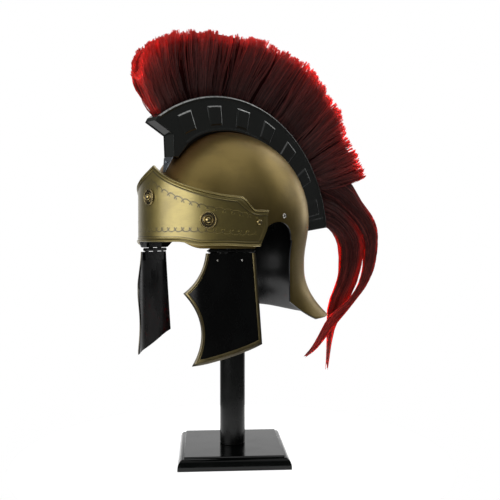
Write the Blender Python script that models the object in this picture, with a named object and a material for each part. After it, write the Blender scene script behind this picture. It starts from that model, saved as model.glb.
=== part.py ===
"""Roman centurion helmet with a horsehair crest, on its square display stand.

Units: the dimensions below are in millimetres, and mm() turns them into metres.
Frame: origin under the base plate on the pole's axis, +Z up, the face looks along -Y,
and the wearer's left side is +X.
"""

import math

import bmesh
import bpy
from mathutils import Vector

# ---- Stand ----
BASE_SIDE = 150.0
BASE_TOP_SIDE = 132.5
BASE_THICKNESS = 16.9
BASE_EDGE_HEIGHT = 3.0
BASE_STEP_HEIGHT = 2.3
BASE_YAW_DEG = 52.7
POLE_RADIUS = 17.5
STAND_HEAD_RADIUS = 34.0
STAND_HEAD_HEIGHT = 28.0
STAND_HEAD_GAP = 0.9

# ---- Skull: half an ellipsoid over a straight wall ----
DOME_Y = -9.8
DOME_FRONT = 117.3
DOME_REAR = 128.1
DOME_HALF_WIDTH = 97.9
DOME_EQUATOR_Z = 328.5
DOME_TOP_Z = 450.2
SKULL_WALL = 2.0
SKULL_RIM_Z = 290.8
DOME_ROWS = 10
RIM_ROWS = 4
RIM_BAND = 21.0
FACE_RIM_Z = 312.0
EAR_Y = -2.0
EAR_HALF_WIDTH = 28.3
EAR_SPRING_Z = 300.0
EAR_RISE = 24.0
EAR_REAR_DEG = 72.0
EAR_FRONT_DEG = 99.5
HINGE_RIM_DEG = 104.0
FACE_RIM_DEGS = (138.0, 168.0)
BROW_SEAT_START_DEGS = (97.0, 106.0)
BROW_SEAT_END_DEGS = (166.0, 150.0)
WAIST_DEPTH = 6.5
WAIST_FADE_DEGS = (105.0, 80.0)
WAIST_HEIGHT = 58.0
NECK_JOIN_Z = 301.0
NECK_RIM_Z = 198.0
NECK_RIM_TILT = 7.5
NECK_RIM_SAG = 6.0
NECK_RIM_SAG_DEGS = (35.0, 5.0)
NECK_CORNER_RISE = 28.0
NECK_CORNER_DEG = 50.5
NECK_FLARE = 38.5
NECK_FLARE_TOP_Z = 262.0
NECK_FLARE_DROP = 70.0
NECK_FLARE_DEGS = (77.0, 25.0)

# ---- Brow band ----
BAND_Y = -18.0
BAND_FRONT = 119.5
BAND_HALF_WIDTH = 104.0
BAND_WALL = 1.6
BAND_GAP = 0.7
BAND_BOTTOM_Z = 294.5
BAND_BROW_RISE = 4.6
BAND_BROW_DEGS = (46.0, 27.0)
BAND_SIDE_Z = 356.0
BAND_PEAK_RISE = 41.0
BAND_PEAK_SPAN_DEG = 68.0
BAND_PEAK_POWER = 1.75
BAND_END_STEP = 16.5
BAND_END_STEP_DEGS = (66.5, 77.0)
BAND_END_DROP = 1.2
BAND_END_DROP_DEGS = (60.0, 78.0)
BAND_END_DEG = 85.5
BAND_END_SLANT_DEG = 6.6
BAND_END_SLANT_Z = (320.0, 292.0)
BAND_LEAN_Z = 361.0
BAND_LEAN = 0.19
BAND_LEAN_DEG = 32.0
BEAD_WIDTH = 4.6
BEAD_HEIGHT = 2.2

# ---- Fittings ----
FIT_GAP = 0.3
ROSETTE_FRONT_Z = 356.0
ROSETTE_SIDE_Z = 326.0
ROSETTE_SIDE_DEG = 46.2
BAND_RIVET_DEG = 78.9
BAND_RIVET_Z = 324.0
SKULL_RIVET_DEG = 82.5
SKULL_RIVET_Z = 333.0
ROSETTE_PROFILE = (
    # (radius, height) in mm, from the rim to the boss
    (10.6, 0.0), (10.6, 1.4), (10.0, 2.3), (9.1, 2.0), (8.6, 1.0), (6.5, 1.0),
    (6.0, 2.0), (5.3, 2.2), (4.7, 1.6), (4.2, 2.9), (3.0, 4.1), (1.4, 4.8),
)

# ---- Crest box: its rim is an arc in the middle plane ----
CREST_HALF_WIDTH = 11.5
CREST_RIM_Y = -15.0
CREST_RIM_Z = 300.5
CREST_RIM_RADIUS = 197.0
CREST_FRONT_DEG = 127.0
CREST_REAR_DEG = 5.8
CREST_LIP_WIDTH = 5.0
CREST_LIP_PROUD = 0.8
CREST_DOME_GAP = 0.8
CREST_FRONT_GAP = 3.4
CREST_FRONT_GAP_DEGS = (95.0, 125.0)
CREST_DOME_DEGS = (-7.8, 129.0)
RIM_STEPS = 32
CREST_FRONT = (
    # (y, z) in mm: tip of the flare, the corner under it, and the foot at the dome
    (-136.2, 453.2), (-107.2, 437.8), (-105.9, 409.5), (-100.5, 408.2),
)
PANEL_COUNT = 7
PANEL_FIRST_DEG = 114.6
PANEL_PITCH_DEG = 16.38
PANEL_LENGTH = 22.5
PANEL_INNER_RADIUS = 157.5
PANEL_OUTER_RADIUS = 184.0
PANEL_PROUD = 1.3
TAB_TOP = (0.0, -107.0, 408.6)
TAB_TIP = (0.0, -113.9, 388.6)
TAB_HALF_WIDTHS = (10.5, 2.5)
TAB_WALL = 1.4
TAB_RIVET_DROP = 7.5

# ---- Cheek guards, hung on a chord of the brow's curve ----
HINGE_X = 87.1
HINGE_Y = -73.5
HINGE_Z = 288.0
HINGE_TOE_IN_DEG = 25.7
HINGE_INSET = 2.4
HINGE_LENGTH = 58.0
KNUCKLE_RADIUS = 2.3
KNUCKLE_BORE = 1.35
KNUCKLE_COUNT = 5
KNUCKLE_GAP = 0.4
PIN_RADIUS = 1.0
LEAF_WALL = 1.2
LEAF_CLEARANCE = 2.9
LEAF_RISE = 10.0
LEAF_DROP = 15.0
FIXED_LEAF = (-17.5, 17.5)
SWINGING_LEAF = (-23.0, 27.0)
CHEEK_WALL = 1.5
CHEEK_TOP_FRONT = (33.0, 285.0)
CHEEK_HOOK = (59.0, 235.0)
CHEEK_POINT = (49.5, 145.0)
CHEEK_REAR_FOOT = (-40.3, 169.8)
CHEEK_TOP_REAR = (-31.0, 285.0)
CHEEK_SAGS = {"front": -5.5, "hook": -15.5, "foot": 2.5}
TRIM_WIDTH = 4.4
TRIM_FOOT_WIDTH = 7.0
TRIM_HEIGHT = 1.4
TRIM_GAP = 0.45
CHEEK_RIVET_Z = 276.3
CHEEK_RIVETS = {"front": 18.0, "rear": -13.4}
HOOK_STEPS = 9
POINT_STEPS = 12
FOOT_STEPS = 6

# ---- Plume ----
BRUSH_ROOT_HALF = 9.5
BRUSH_TIP_HALF = 13.0
BRUSH_ROOT_DEGS = (124.6, 40.0)


def mm(*values):
    """A point or vector given in millimetres, in metres."""
    return Vector(values) * 0.001


def smoothstep(low, high, value):
    t = min(1.0, max(0.0, (value - low) / (high - low)))
    return t * t * (3.0 - 2.0 * t)


def spread(first, last, count):
    """count + 1 evenly spaced values, both ends included."""
    return [first + (last - first) * i / count for i in range(count + 1)]


def smooth_curve(knots, steps):
    """Catmull-Rom curve through the knots, with this many steps between neighbours."""
    ends = [2 * knots[0] - knots[1], *knots, 2 * knots[-1] - knots[-2]]
    points = []
    for a, b, c, d in zip(ends, ends[1:], ends[2:], ends[3:]):
        for i in range(steps):
            t = i / steps
            points.append(0.5 * (2 * b + (c - a) * t + (2 * a - 5 * b + 4 * c - d) * t**2
                                 + (3 * b - 3 * c + d - a) * t**3))
    return [*points, knots[-1]]


# ---- Materials ----

def material(name, colour, roughness, metallic):
    made = bpy.data.materials.new(name)
    made.use_nodes = True
    shader = made.node_tree.nodes["Principled BSDF"]
    shader.inputs["Base Color"].default_value = (*colour, 1.0)
    shader.inputs["Roughness"].default_value = roughness
    shader.inputs["Metallic"].default_value = metallic
    return made


def make_materials():
    return {
        "brass": material("antique_brass", (0.37, 0.28, 0.12), 0.38, 1.0),
        "rosette": material("rosette_brass", (0.40, 0.30, 0.13), 0.32, 1.0),
        "gilt": material("gilt_trim", (0.47, 0.37, 0.16), 0.35, 1.0),
        "crest": material("gloss_black", (0.012, 0.014, 0.013), 0.22, 0.0),
        "enamel": material("black_enamel", (0.010, 0.011, 0.011), 0.25, 0.0),
        "hinge": material("blackened_steel", (0.03, 0.03, 0.03), 0.40, 1.0),
        "silver": material("silver_rivet", (0.75, 0.74, 0.70), 0.25, 1.0),
        "tab": material("grey_tab", (0.16, 0.18, 0.20), 0.38, 1.0),
        "wood": material("black_lacquer", (0.008, 0.010, 0.010), 0.12, 0.0),
        "hair": material("red_hair", (0.28, 0.012, 0.010), 0.55, 0.0),
    }


# ---- Mesh helpers ----

def add_object(name, bm, surface, smooth_deg=35.0):
    """Make an object of a bmesh, with outward faces and rounded parts shaded smooth."""
    bmesh.ops.recalc_face_normals(bm, faces=bm.faces)
    mesh = bpy.data.meshes.new(name)
    bm.to_mesh(mesh)
    bm.free()
    mesh.shade_smooth()
    mesh.set_sharp_from_angle(angle=math.radians(smooth_deg))
    mesh.materials.append(surface)
    made = bpy.data.objects.new(name, mesh)
    bpy.context.collection.objects.link(made)
    return made


def bridge(bm, ring, following, closed):
    last = len(ring) if closed else len(ring) - 1
    for i in range(last):
        j = (i + 1) % len(ring)
        bm.faces.new((ring[i], ring[j], following[j], following[i]))


def loft(rings, bm=None, ends="flat"):
    """A closed body through closed rings of points; ends are flat faces, or none for a loop."""
    bm = bm or bmesh.new()
    rows = [[bm.verts.new(point) for point in ring] for ring in rings]
    for ring, following in zip(rows, rows[1:]):
        bridge(bm, ring, following, True)
    if ends == "flat":
        bm.faces.new(rows[0])
        bm.faces.new(reversed(rows[-1]))
    else:
        bridge(bm, rows[-1], rows[0], True)
    return bm


def turned(profile, segments):
    """A body turned about Z from (radius, height) pairs; it starts and ends flat."""
    rings = []
    for radius, height in profile:
        turns = [2 * math.pi * k / segments for k in range(segments)]
        rings.append([mm(radius * math.cos(a), radius * math.sin(a), height) for a in turns])
    return loft(rings)


def prism(outline, place, depths):
    """A flat outline of (u, v) pairs, lofted between depths; place(u, v, depth) is its frame."""
    return loft([[place(u, v, depth) for u, v in outline] for depth in depths])


def solidify(target, wall):
    thick = target.modifiers.new("wall", "SOLIDIFY")
    thick.thickness = wall * 0.001
    thick.offset = -1.0
    thick.use_even_offset = True
    thick.use_rim = True


def unite(target, others):
    """Join the other objects to the target with exact Boolean unions."""
    for other in others:
        other.hide_render = True
        other.display_type = "WIRE"
        union = target.modifiers.new("join", "BOOLEAN")
        union.operation = "UNION"
        union.solver = "EXACT"
        union.object = other


def point_along(target, normal):
    """Turn the object so that its Z axis lies along the normal."""
    target.rotation_mode = "QUATERNION"
    target.rotation_quaternion = normal.to_track_quat("Z", "Y")


# ---- Stand ----

def make_base(surfaces):
    half, top = BASE_SIDE / 2, BASE_TOP_SIDE / 2
    ovolo_height = BASE_THICKNESS - BASE_STEP_HEIGHT - BASE_EDGE_HEIGHT
    ledge = top + 0.8
    profile = [(half - 0.6, 0.0), (half, 0.6)]
    for angle in spread(0.0, math.pi / 2, 6):
        out = ledge + (half - ledge) * math.cos(angle)
        profile.append((out, BASE_EDGE_HEIGHT + ovolo_height * math.sin(angle)))
    profile += [(top, BASE_THICKNESS - BASE_STEP_HEIGHT), (top, BASE_THICKNESS - 0.5),
                (top - 0.5, BASE_THICKNESS)]
    corners = [(1, 1), (-1, 1), (-1, -1), (1, -1)]
    rings = [[mm(out * x, out * y, height) for x, y in corners] for out, height in profile]
    base = add_object("base_plate", loft(rings), surfaces["wood"], smooth_deg=25.0)
    base.rotation_euler.z = math.radians(BASE_YAW_DEG)


def stand_top_z():
    """Where the stand's head meets the inside of the dome, over the pole."""
    across = -DOME_Y / (DOME_REAR - SKULL_WALL)
    rise = DOME_TOP_Z - SKULL_WALL - DOME_EQUATOR_Z
    return DOME_EQUATOR_Z + rise * math.sqrt(1.0 - across**2) - STAND_HEAD_GAP


def make_pole_and_head(surfaces):
    head_bottom = stand_top_z() - STAND_HEAD_HEIGHT
    foot = BASE_THICKNESS + FIT_GAP
    pole = [(POLE_RADIUS - 0.8, foot), (POLE_RADIUS, foot + 0.8),
            (POLE_RADIUS, head_bottom - FIT_GAP - 0.8), (POLE_RADIUS - 0.8, head_bottom - FIT_GAP)]
    add_object("pole", turned(pole, 48), surfaces["wood"])
    head = [(STAND_HEAD_RADIUS - 3.0, head_bottom), (STAND_HEAD_RADIUS, head_bottom + 3.0)]
    for angle in spread(0.0, math.pi / 2, 7)[1:-1]:
        head.append((STAND_HEAD_RADIUS * math.cos(angle),
                     head_bottom + 3.0 + (STAND_HEAD_HEIGHT - 3.0) * math.sin(angle)))
    head.append((2.0, stand_top_z()))
    add_object("stand_head", turned(head, 40), surfaces["wood"])


# ---- Skull ----

def dome_plan(turn):
    """The dome's plan at its equator; the turn is measured from the back, towards +X."""
    depth = DOME_REAR if math.cos(turn) > 0 else DOME_FRONT
    return DOME_HALF_WIDTH * math.sin(turn), depth * math.cos(turn)


def dome_normal(turn):
    """The outward plan normal at that turn."""
    depth = DOME_REAR if math.cos(turn) > 0 else DOME_FRONT
    return Vector((math.sin(turn) / DOME_HALF_WIDTH, math.cos(turn) / depth)).normalized()


def seat_plan(turn):
    """The plan of the lower brow wall, just inside the brow band."""
    inset = BAND_WALL + BAND_GAP
    return ((BAND_HALF_WIDTH - inset) * math.sin(turn),
            BAND_Y - DOME_Y + (BAND_FRONT - inset) * math.cos(turn))


def skull_point(turn, z):
    """A point on the skull's outer face."""
    height = DOME_TOP_Z - DOME_EQUATOR_Z
    scale = math.sqrt(max(0.0, 1.0 - max(0.0, (z - DOME_EQUATOR_Z) / height) ** 2))
    x, y = dome_plan(turn)
    x, y = x * scale, y * scale
    out = dome_normal(turn)
    side = math.degrees(abs(turn))
    waist = WAIST_DEPTH * smoothstep(DOME_EQUATOR_Z, DOME_EQUATOR_Z - WAIST_HEIGHT, z)
    fall = max(0.0, (NECK_FLARE_TOP_Z - z) / NECK_FLARE_DROP)
    flare = NECK_FLARE * fall**2 * smoothstep(*NECK_FLARE_DEGS, side)
    grow = flare - waist * smoothstep(*WAIST_FADE_DEGS, side)
    x, y = x + out.x * grow, y + out.y * grow
    seat = (smoothstep(*BROW_SEAT_START_DEGS, side) * smoothstep(*BROW_SEAT_END_DEGS, side)
            * smoothstep(FACE_RIM_Z, EAR_SPRING_Z, z))
    seat_x, seat_y = seat_plan(turn)
    x, y = x + (seat_x - x) * seat, y + (seat_y - y) * seat
    return mm(x, y + DOME_Y, z)


def skull_rim_z(turn):
    """The lower edge of the dome: neck joint, ear arch, hinge rim and face opening."""
    side = math.degrees(abs(turn))
    if side <= EAR_REAR_DEG:
        return NECK_JOIN_Z
    y = dome_plan(turn)[1] + DOME_Y
    across = (y - EAR_Y) / EAR_HALF_WIDTH
    if side <= EAR_FRONT_DEG:
        return EAR_SPRING_Z + EAR_RISE * math.sqrt(max(0.0, 1.0 - across**2)) + 1.0
    brow = SKULL_RIM_Z + (FACE_RIM_Z - SKULL_RIM_Z) * smoothstep(*FACE_RIM_DEGS, side)
    return brow + (NECK_JOIN_Z - SKULL_RIM_Z) * smoothstep(HINGE_RIM_DEG, EAR_FRONT_DEG, side)


def skull_turns():
    """Column angles for one side, from the back to the front, close together at the ear."""
    middle, half = (EAR_REAR_DEG + EAR_FRONT_DEG) / 2, (EAR_FRONT_DEG - EAR_REAR_DEG) / 2
    ear = [middle - half * math.cos(math.pi * k / 10) for k in range(11)]
    degrees = spread(0.0, NECK_CORNER_DEG, 8)[:-1] + spread(NECK_CORNER_DEG, EAR_REAR_DEG, 4)[:-1]
    degrees += ear + spread(EAR_FRONT_DEG, HINGE_RIM_DEG, 3)[1:] + spread(HINGE_RIM_DEG, 180.0, 9)[1:]
    return [math.radians(value) for value in degrees]


def neck_rim_z(turn):
    """The neck guard's lower edge: it dips behind, hangs a little lower on the left, cut corners."""
    side = math.degrees(abs(turn))
    corner = max(0.0, side - NECK_CORNER_DEG) / (EAR_REAR_DEG - NECK_CORNER_DEG)
    dip = NECK_RIM_SAG * smoothstep(*NECK_RIM_SAG_DEGS, side)
    return NECK_RIM_Z - NECK_RIM_TILT * math.sin(turn) - dip + NECK_CORNER_RISE * corner


def make_skull(surfaces):
    bm = bmesh.new()
    side = skull_turns()
    turns = [-turn for turn in reversed(side[1:-1])] + side
    height = DOME_TOP_Z - DOME_EQUATOR_Z
    crown = bm.verts.new(mm(0.0, DOME_Y, DOME_TOP_Z))
    rows = []
    for part in spread(0.0, 1.0, DOME_ROWS)[1:] + spread(1.0, 2.0, RIM_ROWS)[1:]:
        row = []
        for turn in turns:
            rim = skull_rim_z(turn)
            shoulder = rim + RIM_BAND
            sweep = math.acos(max(0.0, shoulder - DOME_EQUATOR_Z) / height)
            drop = max(0.0, DOME_EQUATOR_Z - shoulder) / height
            angle = min(part, 1.0) * (sweep + drop)
            z = DOME_EQUATOR_Z + height * math.cos(min(angle, math.pi / 2))
            z -= max(0.0, angle - math.pi / 2) * height + max(0.0, part - 1.0) * RIM_BAND
            row.append(bm.verts.new(skull_point(turn, z)))
        rows.append(row)
    for i in range(len(turns)):
        bm.faces.new((crown, rows[0][i], rows[0][(i + 1) % len(turns)]))
    for row, following in zip(rows, rows[1:]):
        bridge(bm, row, following, True)
    joint = [i for i, turn in enumerate(turns) if abs(math.degrees(turn)) <= EAR_REAR_DEG + 0.01]
    above = [rows[-1][i] for i in joint]
    for part in spread(0.0, 1.0, 9)[1:]:
        below = []
        for i in joint:
            rim = neck_rim_z(turns[i])
            z = NECK_JOIN_Z + (rim - NECK_JOIN_Z) * part
            below.append(bm.verts.new(skull_point(turns[i], z)))
        bridge(bm, above, below, False)
        above = below
    skull = add_object("skull", bm, surfaces["brass"])
    solidify(skull, SKULL_WALL)


# ---- Brow band ----

def band_point(turn, z, proud=0.0):
    """A point on the band's outer face; the turn is measured from the front, towards +X."""
    near_peak = smoothstep(BAND_LEAN_DEG, 0.0, abs(math.degrees(turn)))
    lean = BAND_LEAN * max(0.0, z - BAND_LEAN_Z) * near_peak
    out = band_normal(turn)
    grow = proud - lean
    return mm(BAND_HALF_WIDTH * math.sin(turn) + out.x * grow,
              BAND_Y - BAND_FRONT * math.cos(turn) + out.y * grow, z)


def band_normal(turn):
    return Vector((math.sin(turn) / BAND_HALF_WIDTH, -math.cos(turn) / BAND_FRONT, 0.0)).normalized()


def band_top_z(side):
    peak = BAND_PEAK_RISE * max(0.0, 1.0 - side / BAND_PEAK_SPAN_DEG) ** BAND_PEAK_POWER
    return BAND_SIDE_Z + peak - BAND_END_STEP * smoothstep(*BAND_END_STEP_DEGS, side)


def band_bottom_z(side):
    rise = BAND_BROW_RISE * smoothstep(*BAND_BROW_DEGS, side)
    return BAND_BOTTOM_Z + rise - BAND_END_DROP * smoothstep(*BAND_END_DROP_DEGS, side)


def band_end_deg(z):
    """The band's slanting rear edge, as an angle from the front."""
    top, bottom = BAND_END_SLANT_Z
    drop = max(0.0, (top - z) / (top - bottom))
    return BAND_END_DEG - BAND_END_SLANT_DEG * drop**1.3


def bead(distance):
    """Height of the rolled edge at this distance from it."""
    return BEAD_HEIGHT * math.sin(math.pi * distance / BEAD_WIDTH) if distance < BEAD_WIDTH else 0.0


def make_band(surfaces):
    bm = bmesh.new()
    edge_steps = [0.0, 0.8, 2.3, 3.8, BEAD_WIDTH]
    arc = BAND_HALF_WIDTH * math.pi / 180
    end_parts = [1.0 - step / (arc * BAND_END_DEG) for step in edge_steps]
    half = end_parts + spread(end_parts[-1], 0.0, 18)[1:]
    columns = half + [-part for part in reversed(half[:-1])]
    rows = []
    for part in columns:
        side = abs(part) * BAND_END_DEG
        bottom, top = band_bottom_z(side), band_top_z(side)
        heights = [bottom + step for step in edge_steps]
        heights += spread(bottom + BEAD_WIDTH, top - BEAD_WIDTH, 5)[1:-1]
        heights += [top - step for step in reversed(edge_steps)]
        row = []
        for z in heights:
            turn = math.radians(part * band_end_deg(z))
            nearest = min(z - bottom, top - z, (1.0 - abs(part)) * BAND_END_DEG * arc)
            row.append(bm.verts.new(band_point(turn, z, bead(nearest))))
        rows.append(row)
    for row, following in zip(rows, rows[1:]):
        bridge(bm, row, following, False)
    band = add_object("brow_band", bm, surfaces["brass"])
    solidify(band, BAND_WALL)


# ---- Rosettes and rivets ----

def make_rosettes(surfaces):
    places = {"front": (0.0, ROSETTE_FRONT_Z), "left": (ROSETTE_SIDE_DEG, ROSETTE_SIDE_Z),
              "right": (-ROSETTE_SIDE_DEG, ROSETTE_SIDE_Z)}
    for side, (degrees, z) in places.items():
        turn = math.radians(degrees)
        rosette = add_object("rosette_" + side, turned(ROSETTE_PROFILE, 24), surfaces["rosette"])
        rosette.location = band_point(turn, z, FIT_GAP)
        point_along(rosette, band_normal(turn))


def rivet(name, surface, radius, height, location, normal):
    """A domed rivet head that stands just off the face it holds."""
    profile = [(radius * math.cos(a), height * math.sin(a)) for a in spread(0.0, math.pi / 2, 4)[:-1]]
    head = add_object(name, turned([*profile, (0.25 * radius, height)], 16), surface)
    head.location = location
    point_along(head, normal)
    return head


def make_band_and_skull_rivets(surfaces):
    for side, sign in (("left", 1.0), ("right", -1.0)):
        turn = math.radians(sign * BAND_RIVET_DEG)
        rivet("band_rivet_" + side, surfaces["rosette"], 3.4, 2.4,
              band_point(turn, BAND_RIVET_Z, FIT_GAP), band_normal(turn))
        turn = math.radians(sign * SKULL_RIVET_DEG)
        out = dome_normal(turn).to_3d()
        rivet("skull_rivet_" + side, surfaces["silver"], 3.4, 1.8,
              skull_point(turn, SKULL_RIVET_Z) + out * 0.001 * FIT_GAP, out)


# ---- Crest box ----

def crest_point(degrees, radius, x=0.0):
    angle = math.radians(degrees)
    return mm(x, CREST_RIM_Y + radius * math.cos(angle), CREST_RIM_Z + radius * math.sin(angle))


def crest_dome_line(count):
    """The box's lower edge along the dome, from the back to the front, as (y, z) pairs."""
    line = []
    for degrees in spread(*CREST_DOME_DEGS, count):
        angle = math.radians(degrees)
        depth = DOME_REAR if math.cos(angle) > 0 else DOME_FRONT
        gap = CREST_DOME_GAP + CREST_FRONT_GAP * smoothstep(*CREST_FRONT_GAP_DEGS, degrees)
        line.append((DOME_Y + (depth + gap) * math.cos(angle),
                     DOME_EQUATOR_Z + (DOME_TOP_Z - DOME_EQUATOR_Z + gap) * math.sin(angle)))
    return line


def crest_outline():
    """The box from the side: rim arc, flared front, and the lower edge that follows the dome."""
    outline = []
    for degrees in spread(CREST_REAR_DEG, CREST_FRONT_DEG, RIM_STEPS):
        point = crest_point(degrees, CREST_RIM_RADIUS) * 1000
        outline.append((point.y, point.z))
    return [*outline, *CREST_FRONT, *reversed(crest_dome_line(30)[:-1])]


def arc_bar(name, degrees, inner, outer, half_width, steps, surface):
    """A bar that follows the rim's arc, for the panels and the raised rim."""
    first, last = degrees
    ring = [crest_point(a, outer) for a in spread(first, last, steps)]
    ring += [crest_point(a, inner) for a in spread(last, first, steps)]
    across = Vector((0.001 * half_width, 0.0, 0.0))
    return add_object(name, loft([[p - across for p in ring], [p + across for p in ring]]), surface)


def make_crest_box(surfaces):
    outline = crest_outline()
    widths = (-CREST_HALF_WIDTH, CREST_HALF_WIDTH)
    body = prism(outline, lambda y, z, x: mm(x, y, z), widths)
    crest = add_object("crest_holder", body, surfaces["crest"], smooth_deg=20.0)
    raised = []
    half = math.degrees(PANEL_LENGTH / (PANEL_INNER_RADIUS + PANEL_OUTER_RADIUS))
    for k in range(PANEL_COUNT):
        middle = PANEL_FIRST_DEG - k * PANEL_PITCH_DEG
        bar = arc_bar(f"panel_guide_{k + 1}", (middle - half, middle + half), PANEL_INNER_RADIUS,
                      PANEL_OUTER_RADIUS, CREST_HALF_WIDTH + PANEL_PROUD, 2, surfaces["crest"])
        soften = bar.modifiers.new("soften", "BEVEL")
        soften.width = 0.0008
        soften.segments = 1
        raised.append(bar)
    lip = arc_bar("rim_guide", (CREST_REAR_DEG + 0.4, CREST_FRONT_DEG - 0.6),
                  CREST_RIM_RADIUS - CREST_LIP_WIDTH, CREST_RIM_RADIUS - 0.4,
                  CREST_HALF_WIDTH + CREST_LIP_PROUD, RIM_STEPS, surfaces["crest"])
    unite(crest, [*raised, lip])


def make_crest_tab(surfaces):
    """The pointed metal tab from the box's front foot down to the dome."""
    top, tip = mm(*TAB_TOP), mm(*TAB_TIP)
    down = (tip - top).normalized()
    out = Vector((0.0, down.z, -down.y))
    length = (tip - top).length * 1000
    wide, narrow = TAB_HALF_WIDTHS
    outline = [(-wide, 0.0), (wide, 0.0), (narrow, length), (-narrow, length)]

    def place(x, run, depth):
        return top + mm(x, 0.0, 0.0) + (down * run + out * depth) * 0.001
    add_object("crest_tab", prism(outline, place, (0.0, TAB_WALL)), surfaces["tab"])
    middle = place(0.0, TAB_RIVET_DROP, TAB_WALL + FIT_GAP)
    rivet("crest_tab_rivet", surfaces["tab"], 2.4, 1.2, middle, out)


# ---- Cheek guards ----

def hinge_axes(sign):
    """Forward and outward directions of a cheek guard, for the left (+1) or right (-1) side."""
    toe = math.radians(HINGE_TOE_IN_DEG)
    forward = Vector((-sign * math.sin(toe), -math.cos(toe), 0.0))
    outward = Vector((sign * math.cos(toe), -math.sin(toe), 0.0))
    return forward, outward


def hinge_centre(sign):
    outward = hinge_axes(sign)[1]
    return mm(sign * HINGE_X, HINGE_Y, HINGE_Z) - outward * 0.001 * HINGE_INSET


def cheek_bend(run):
    """How far the plate turns in towards the face, before and behind its flat middle."""
    return 0.0125 * max(0.0, run - 28.0) ** 2 + 0.0086 * max(0.0, -run - 20.0) ** 2


def cheek_place(sign):
    """Frame of a cheek guard about its hinge: (run forward, height, depth outward) in mm."""
    forward, outward = hinge_axes(sign)

    def place(run, z, depth):
        bent = depth + HINGE_INSET - cheek_bend(run)
        return (forward * run + outward * bent) * 0.001 + mm(0.0, 0.0, z - HINGE_Z)
    return place


def sagged(start, end, sag, steps):
    """Arc from start to end that bows to the left of its run by the sag, without its end point."""
    start, end = Vector(start), Vector(end)
    chord = end - start
    normal = Vector((-chord.y, chord.x)).normalized()
    points = []
    for part in spread(0.0, 1.0, steps)[:-1]:
        points.append(tuple(start + chord * part + normal * sag * 4 * part * (1 - part)))
    return points


def cheek_edge():
    """The trimmed edge from the hinge's front end, by hook and point, to its rear end."""
    rear_steps = HOOK_STEPS + POINT_STEPS - FOOT_STEPS
    return [
        *sagged(CHEEK_TOP_FRONT, CHEEK_HOOK, CHEEK_SAGS["front"], HOOK_STEPS),
        *sagged(CHEEK_HOOK, CHEEK_POINT, CHEEK_SAGS["hook"], POINT_STEPS),
        *sagged(CHEEK_POINT, CHEEK_REAR_FOOT, CHEEK_SAGS["foot"], FOOT_STEPS),
        *sagged(CHEEK_REAR_FOOT, CHEEK_TOP_REAR, 0.0, rear_steps),
        CHEEK_TOP_REAR,
    ]


def inset_edge(edge, distance, foot_distance):
    """The edge moved into the plate, mitred at its corners; its ends stay level with the top."""
    foot = range(HOOK_STEPS + POINT_STEPS, HOOK_STEPS + POINT_STEPS + FOOT_STEPS)
    points = [Vector(pair) for pair in edge]
    runs = [(end - start).normalized() for start, end in zip(points, points[1:])]
    reaches = [foot_distance if k in foot else distance for k in range(len(runs))]
    normals = [Vector((run.y, -run.x)) for run in runs]
    moved = [points[0] + normals[0] * reaches[0]]
    for k, point in enumerate(points[1:-1]):
        if reaches[k] == reaches[k + 1]:
            middle = (normals[k] + normals[k + 1]).normalized()
            moved.append(point + middle * (reaches[k] / middle.dot(normals[k])))
        else:
            slide = reaches[k + 1] - reaches[k] * normals[k].dot(normals[k + 1])
            moved.append(point + normals[k] * reaches[k]
                         + runs[k] * (slide / runs[k].dot(normals[k + 1])))
    moved.append(points[-1] + normals[-1] * reaches[-1])
    for i in (0, -1):
        moved[i].y = points[i].y
    return [tuple(point) for point in moved]


def cheek_parent(side, sign):
    """An empty on the hinge's axis that carries one cheek guard."""
    empty = bpy.data.objects.new("cheek_hinge_" + side, None)
    empty.location = hinge_centre(sign)
    bpy.context.collection.objects.link(empty)
    return empty


def make_cheek_plate(side, sign, parent, surfaces):
    """The plate: lines from its front edge across to its rear and lower edge, so it can bend."""
    place = cheek_place(sign)
    edge = inset_edge(cheek_edge(), 0.3, 0.3)
    turn = HOOK_STEPS + POINT_STEPS
    pairs = [(Vector(a), Vector(b)) for a, b in zip(edge[:turn], reversed(edge[turn + 1:]))]
    tip = Vector(edge[turn])
    pairs.append(tuple(end.lerp(tip, 0.8) for end in pairs[-1]))
    rings = []
    for front, back in pairs:
        line = [front.lerp(back, part) for part in spread(0.0, 1.0, 9)]
        ring = [place(p.x, p.y, 0.0) for p in line]
        ring += [place(p.x, p.y, -CHEEK_WALL) for p in reversed(line)]
        rings.append(ring)
    plate = add_object("cheek_plate_" + side, loft(rings), surfaces["enamel"])
    plate.parent = parent


def make_cheek_trim(side, sign, parent, surfaces):
    """The raised trim: a rounded strip run along the plate's trimmed edge."""
    place = cheek_place(sign)
    profile = [(0.0, 0.0), (0.0, 0.6), (0.25, 1.0), (0.75, 1.0), (1.0, 0.6), (1.0, 0.0),
               (0.67, 0.0), (0.33, 0.0)]
    edge = cheek_edge()
    lines = [inset_edge(edge, TRIM_WIDTH * across, TRIM_FOOT_WIDTH * across)
             for across, _ in profile]
    rings = []
    for i in range(len(edge)):
        rings.append([place(*line[i], TRIM_GAP + TRIM_HEIGHT * up)
                      for line, (_, up) in zip(lines, profile)])
    trim = add_object("cheek_trim_" + side, loft(rings), surfaces["gilt"])
    trim.parent = parent


def knuckle_spans(first):
    """Runs of every second knuckle along the hinge, from the first one given."""
    pitch = HINGE_LENGTH / KNUCKLE_COUNT
    start = -HINGE_LENGTH / 2
    return [(start + k * pitch + KNUCKLE_GAP / 2, start + (k + 1) * pitch - KNUCKLE_GAP / 2)
            for k in range(first, KNUCKLE_COUNT, 2)]


def hinge_box(name, frame, runs, rises, depths, surface):
    outline = [(runs[0], rises[0]), (runs[1], rises[0]), (runs[1], rises[1]), (runs[0], rises[1])]
    return add_object(name, prism(outline, frame, depths), surface)


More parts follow.
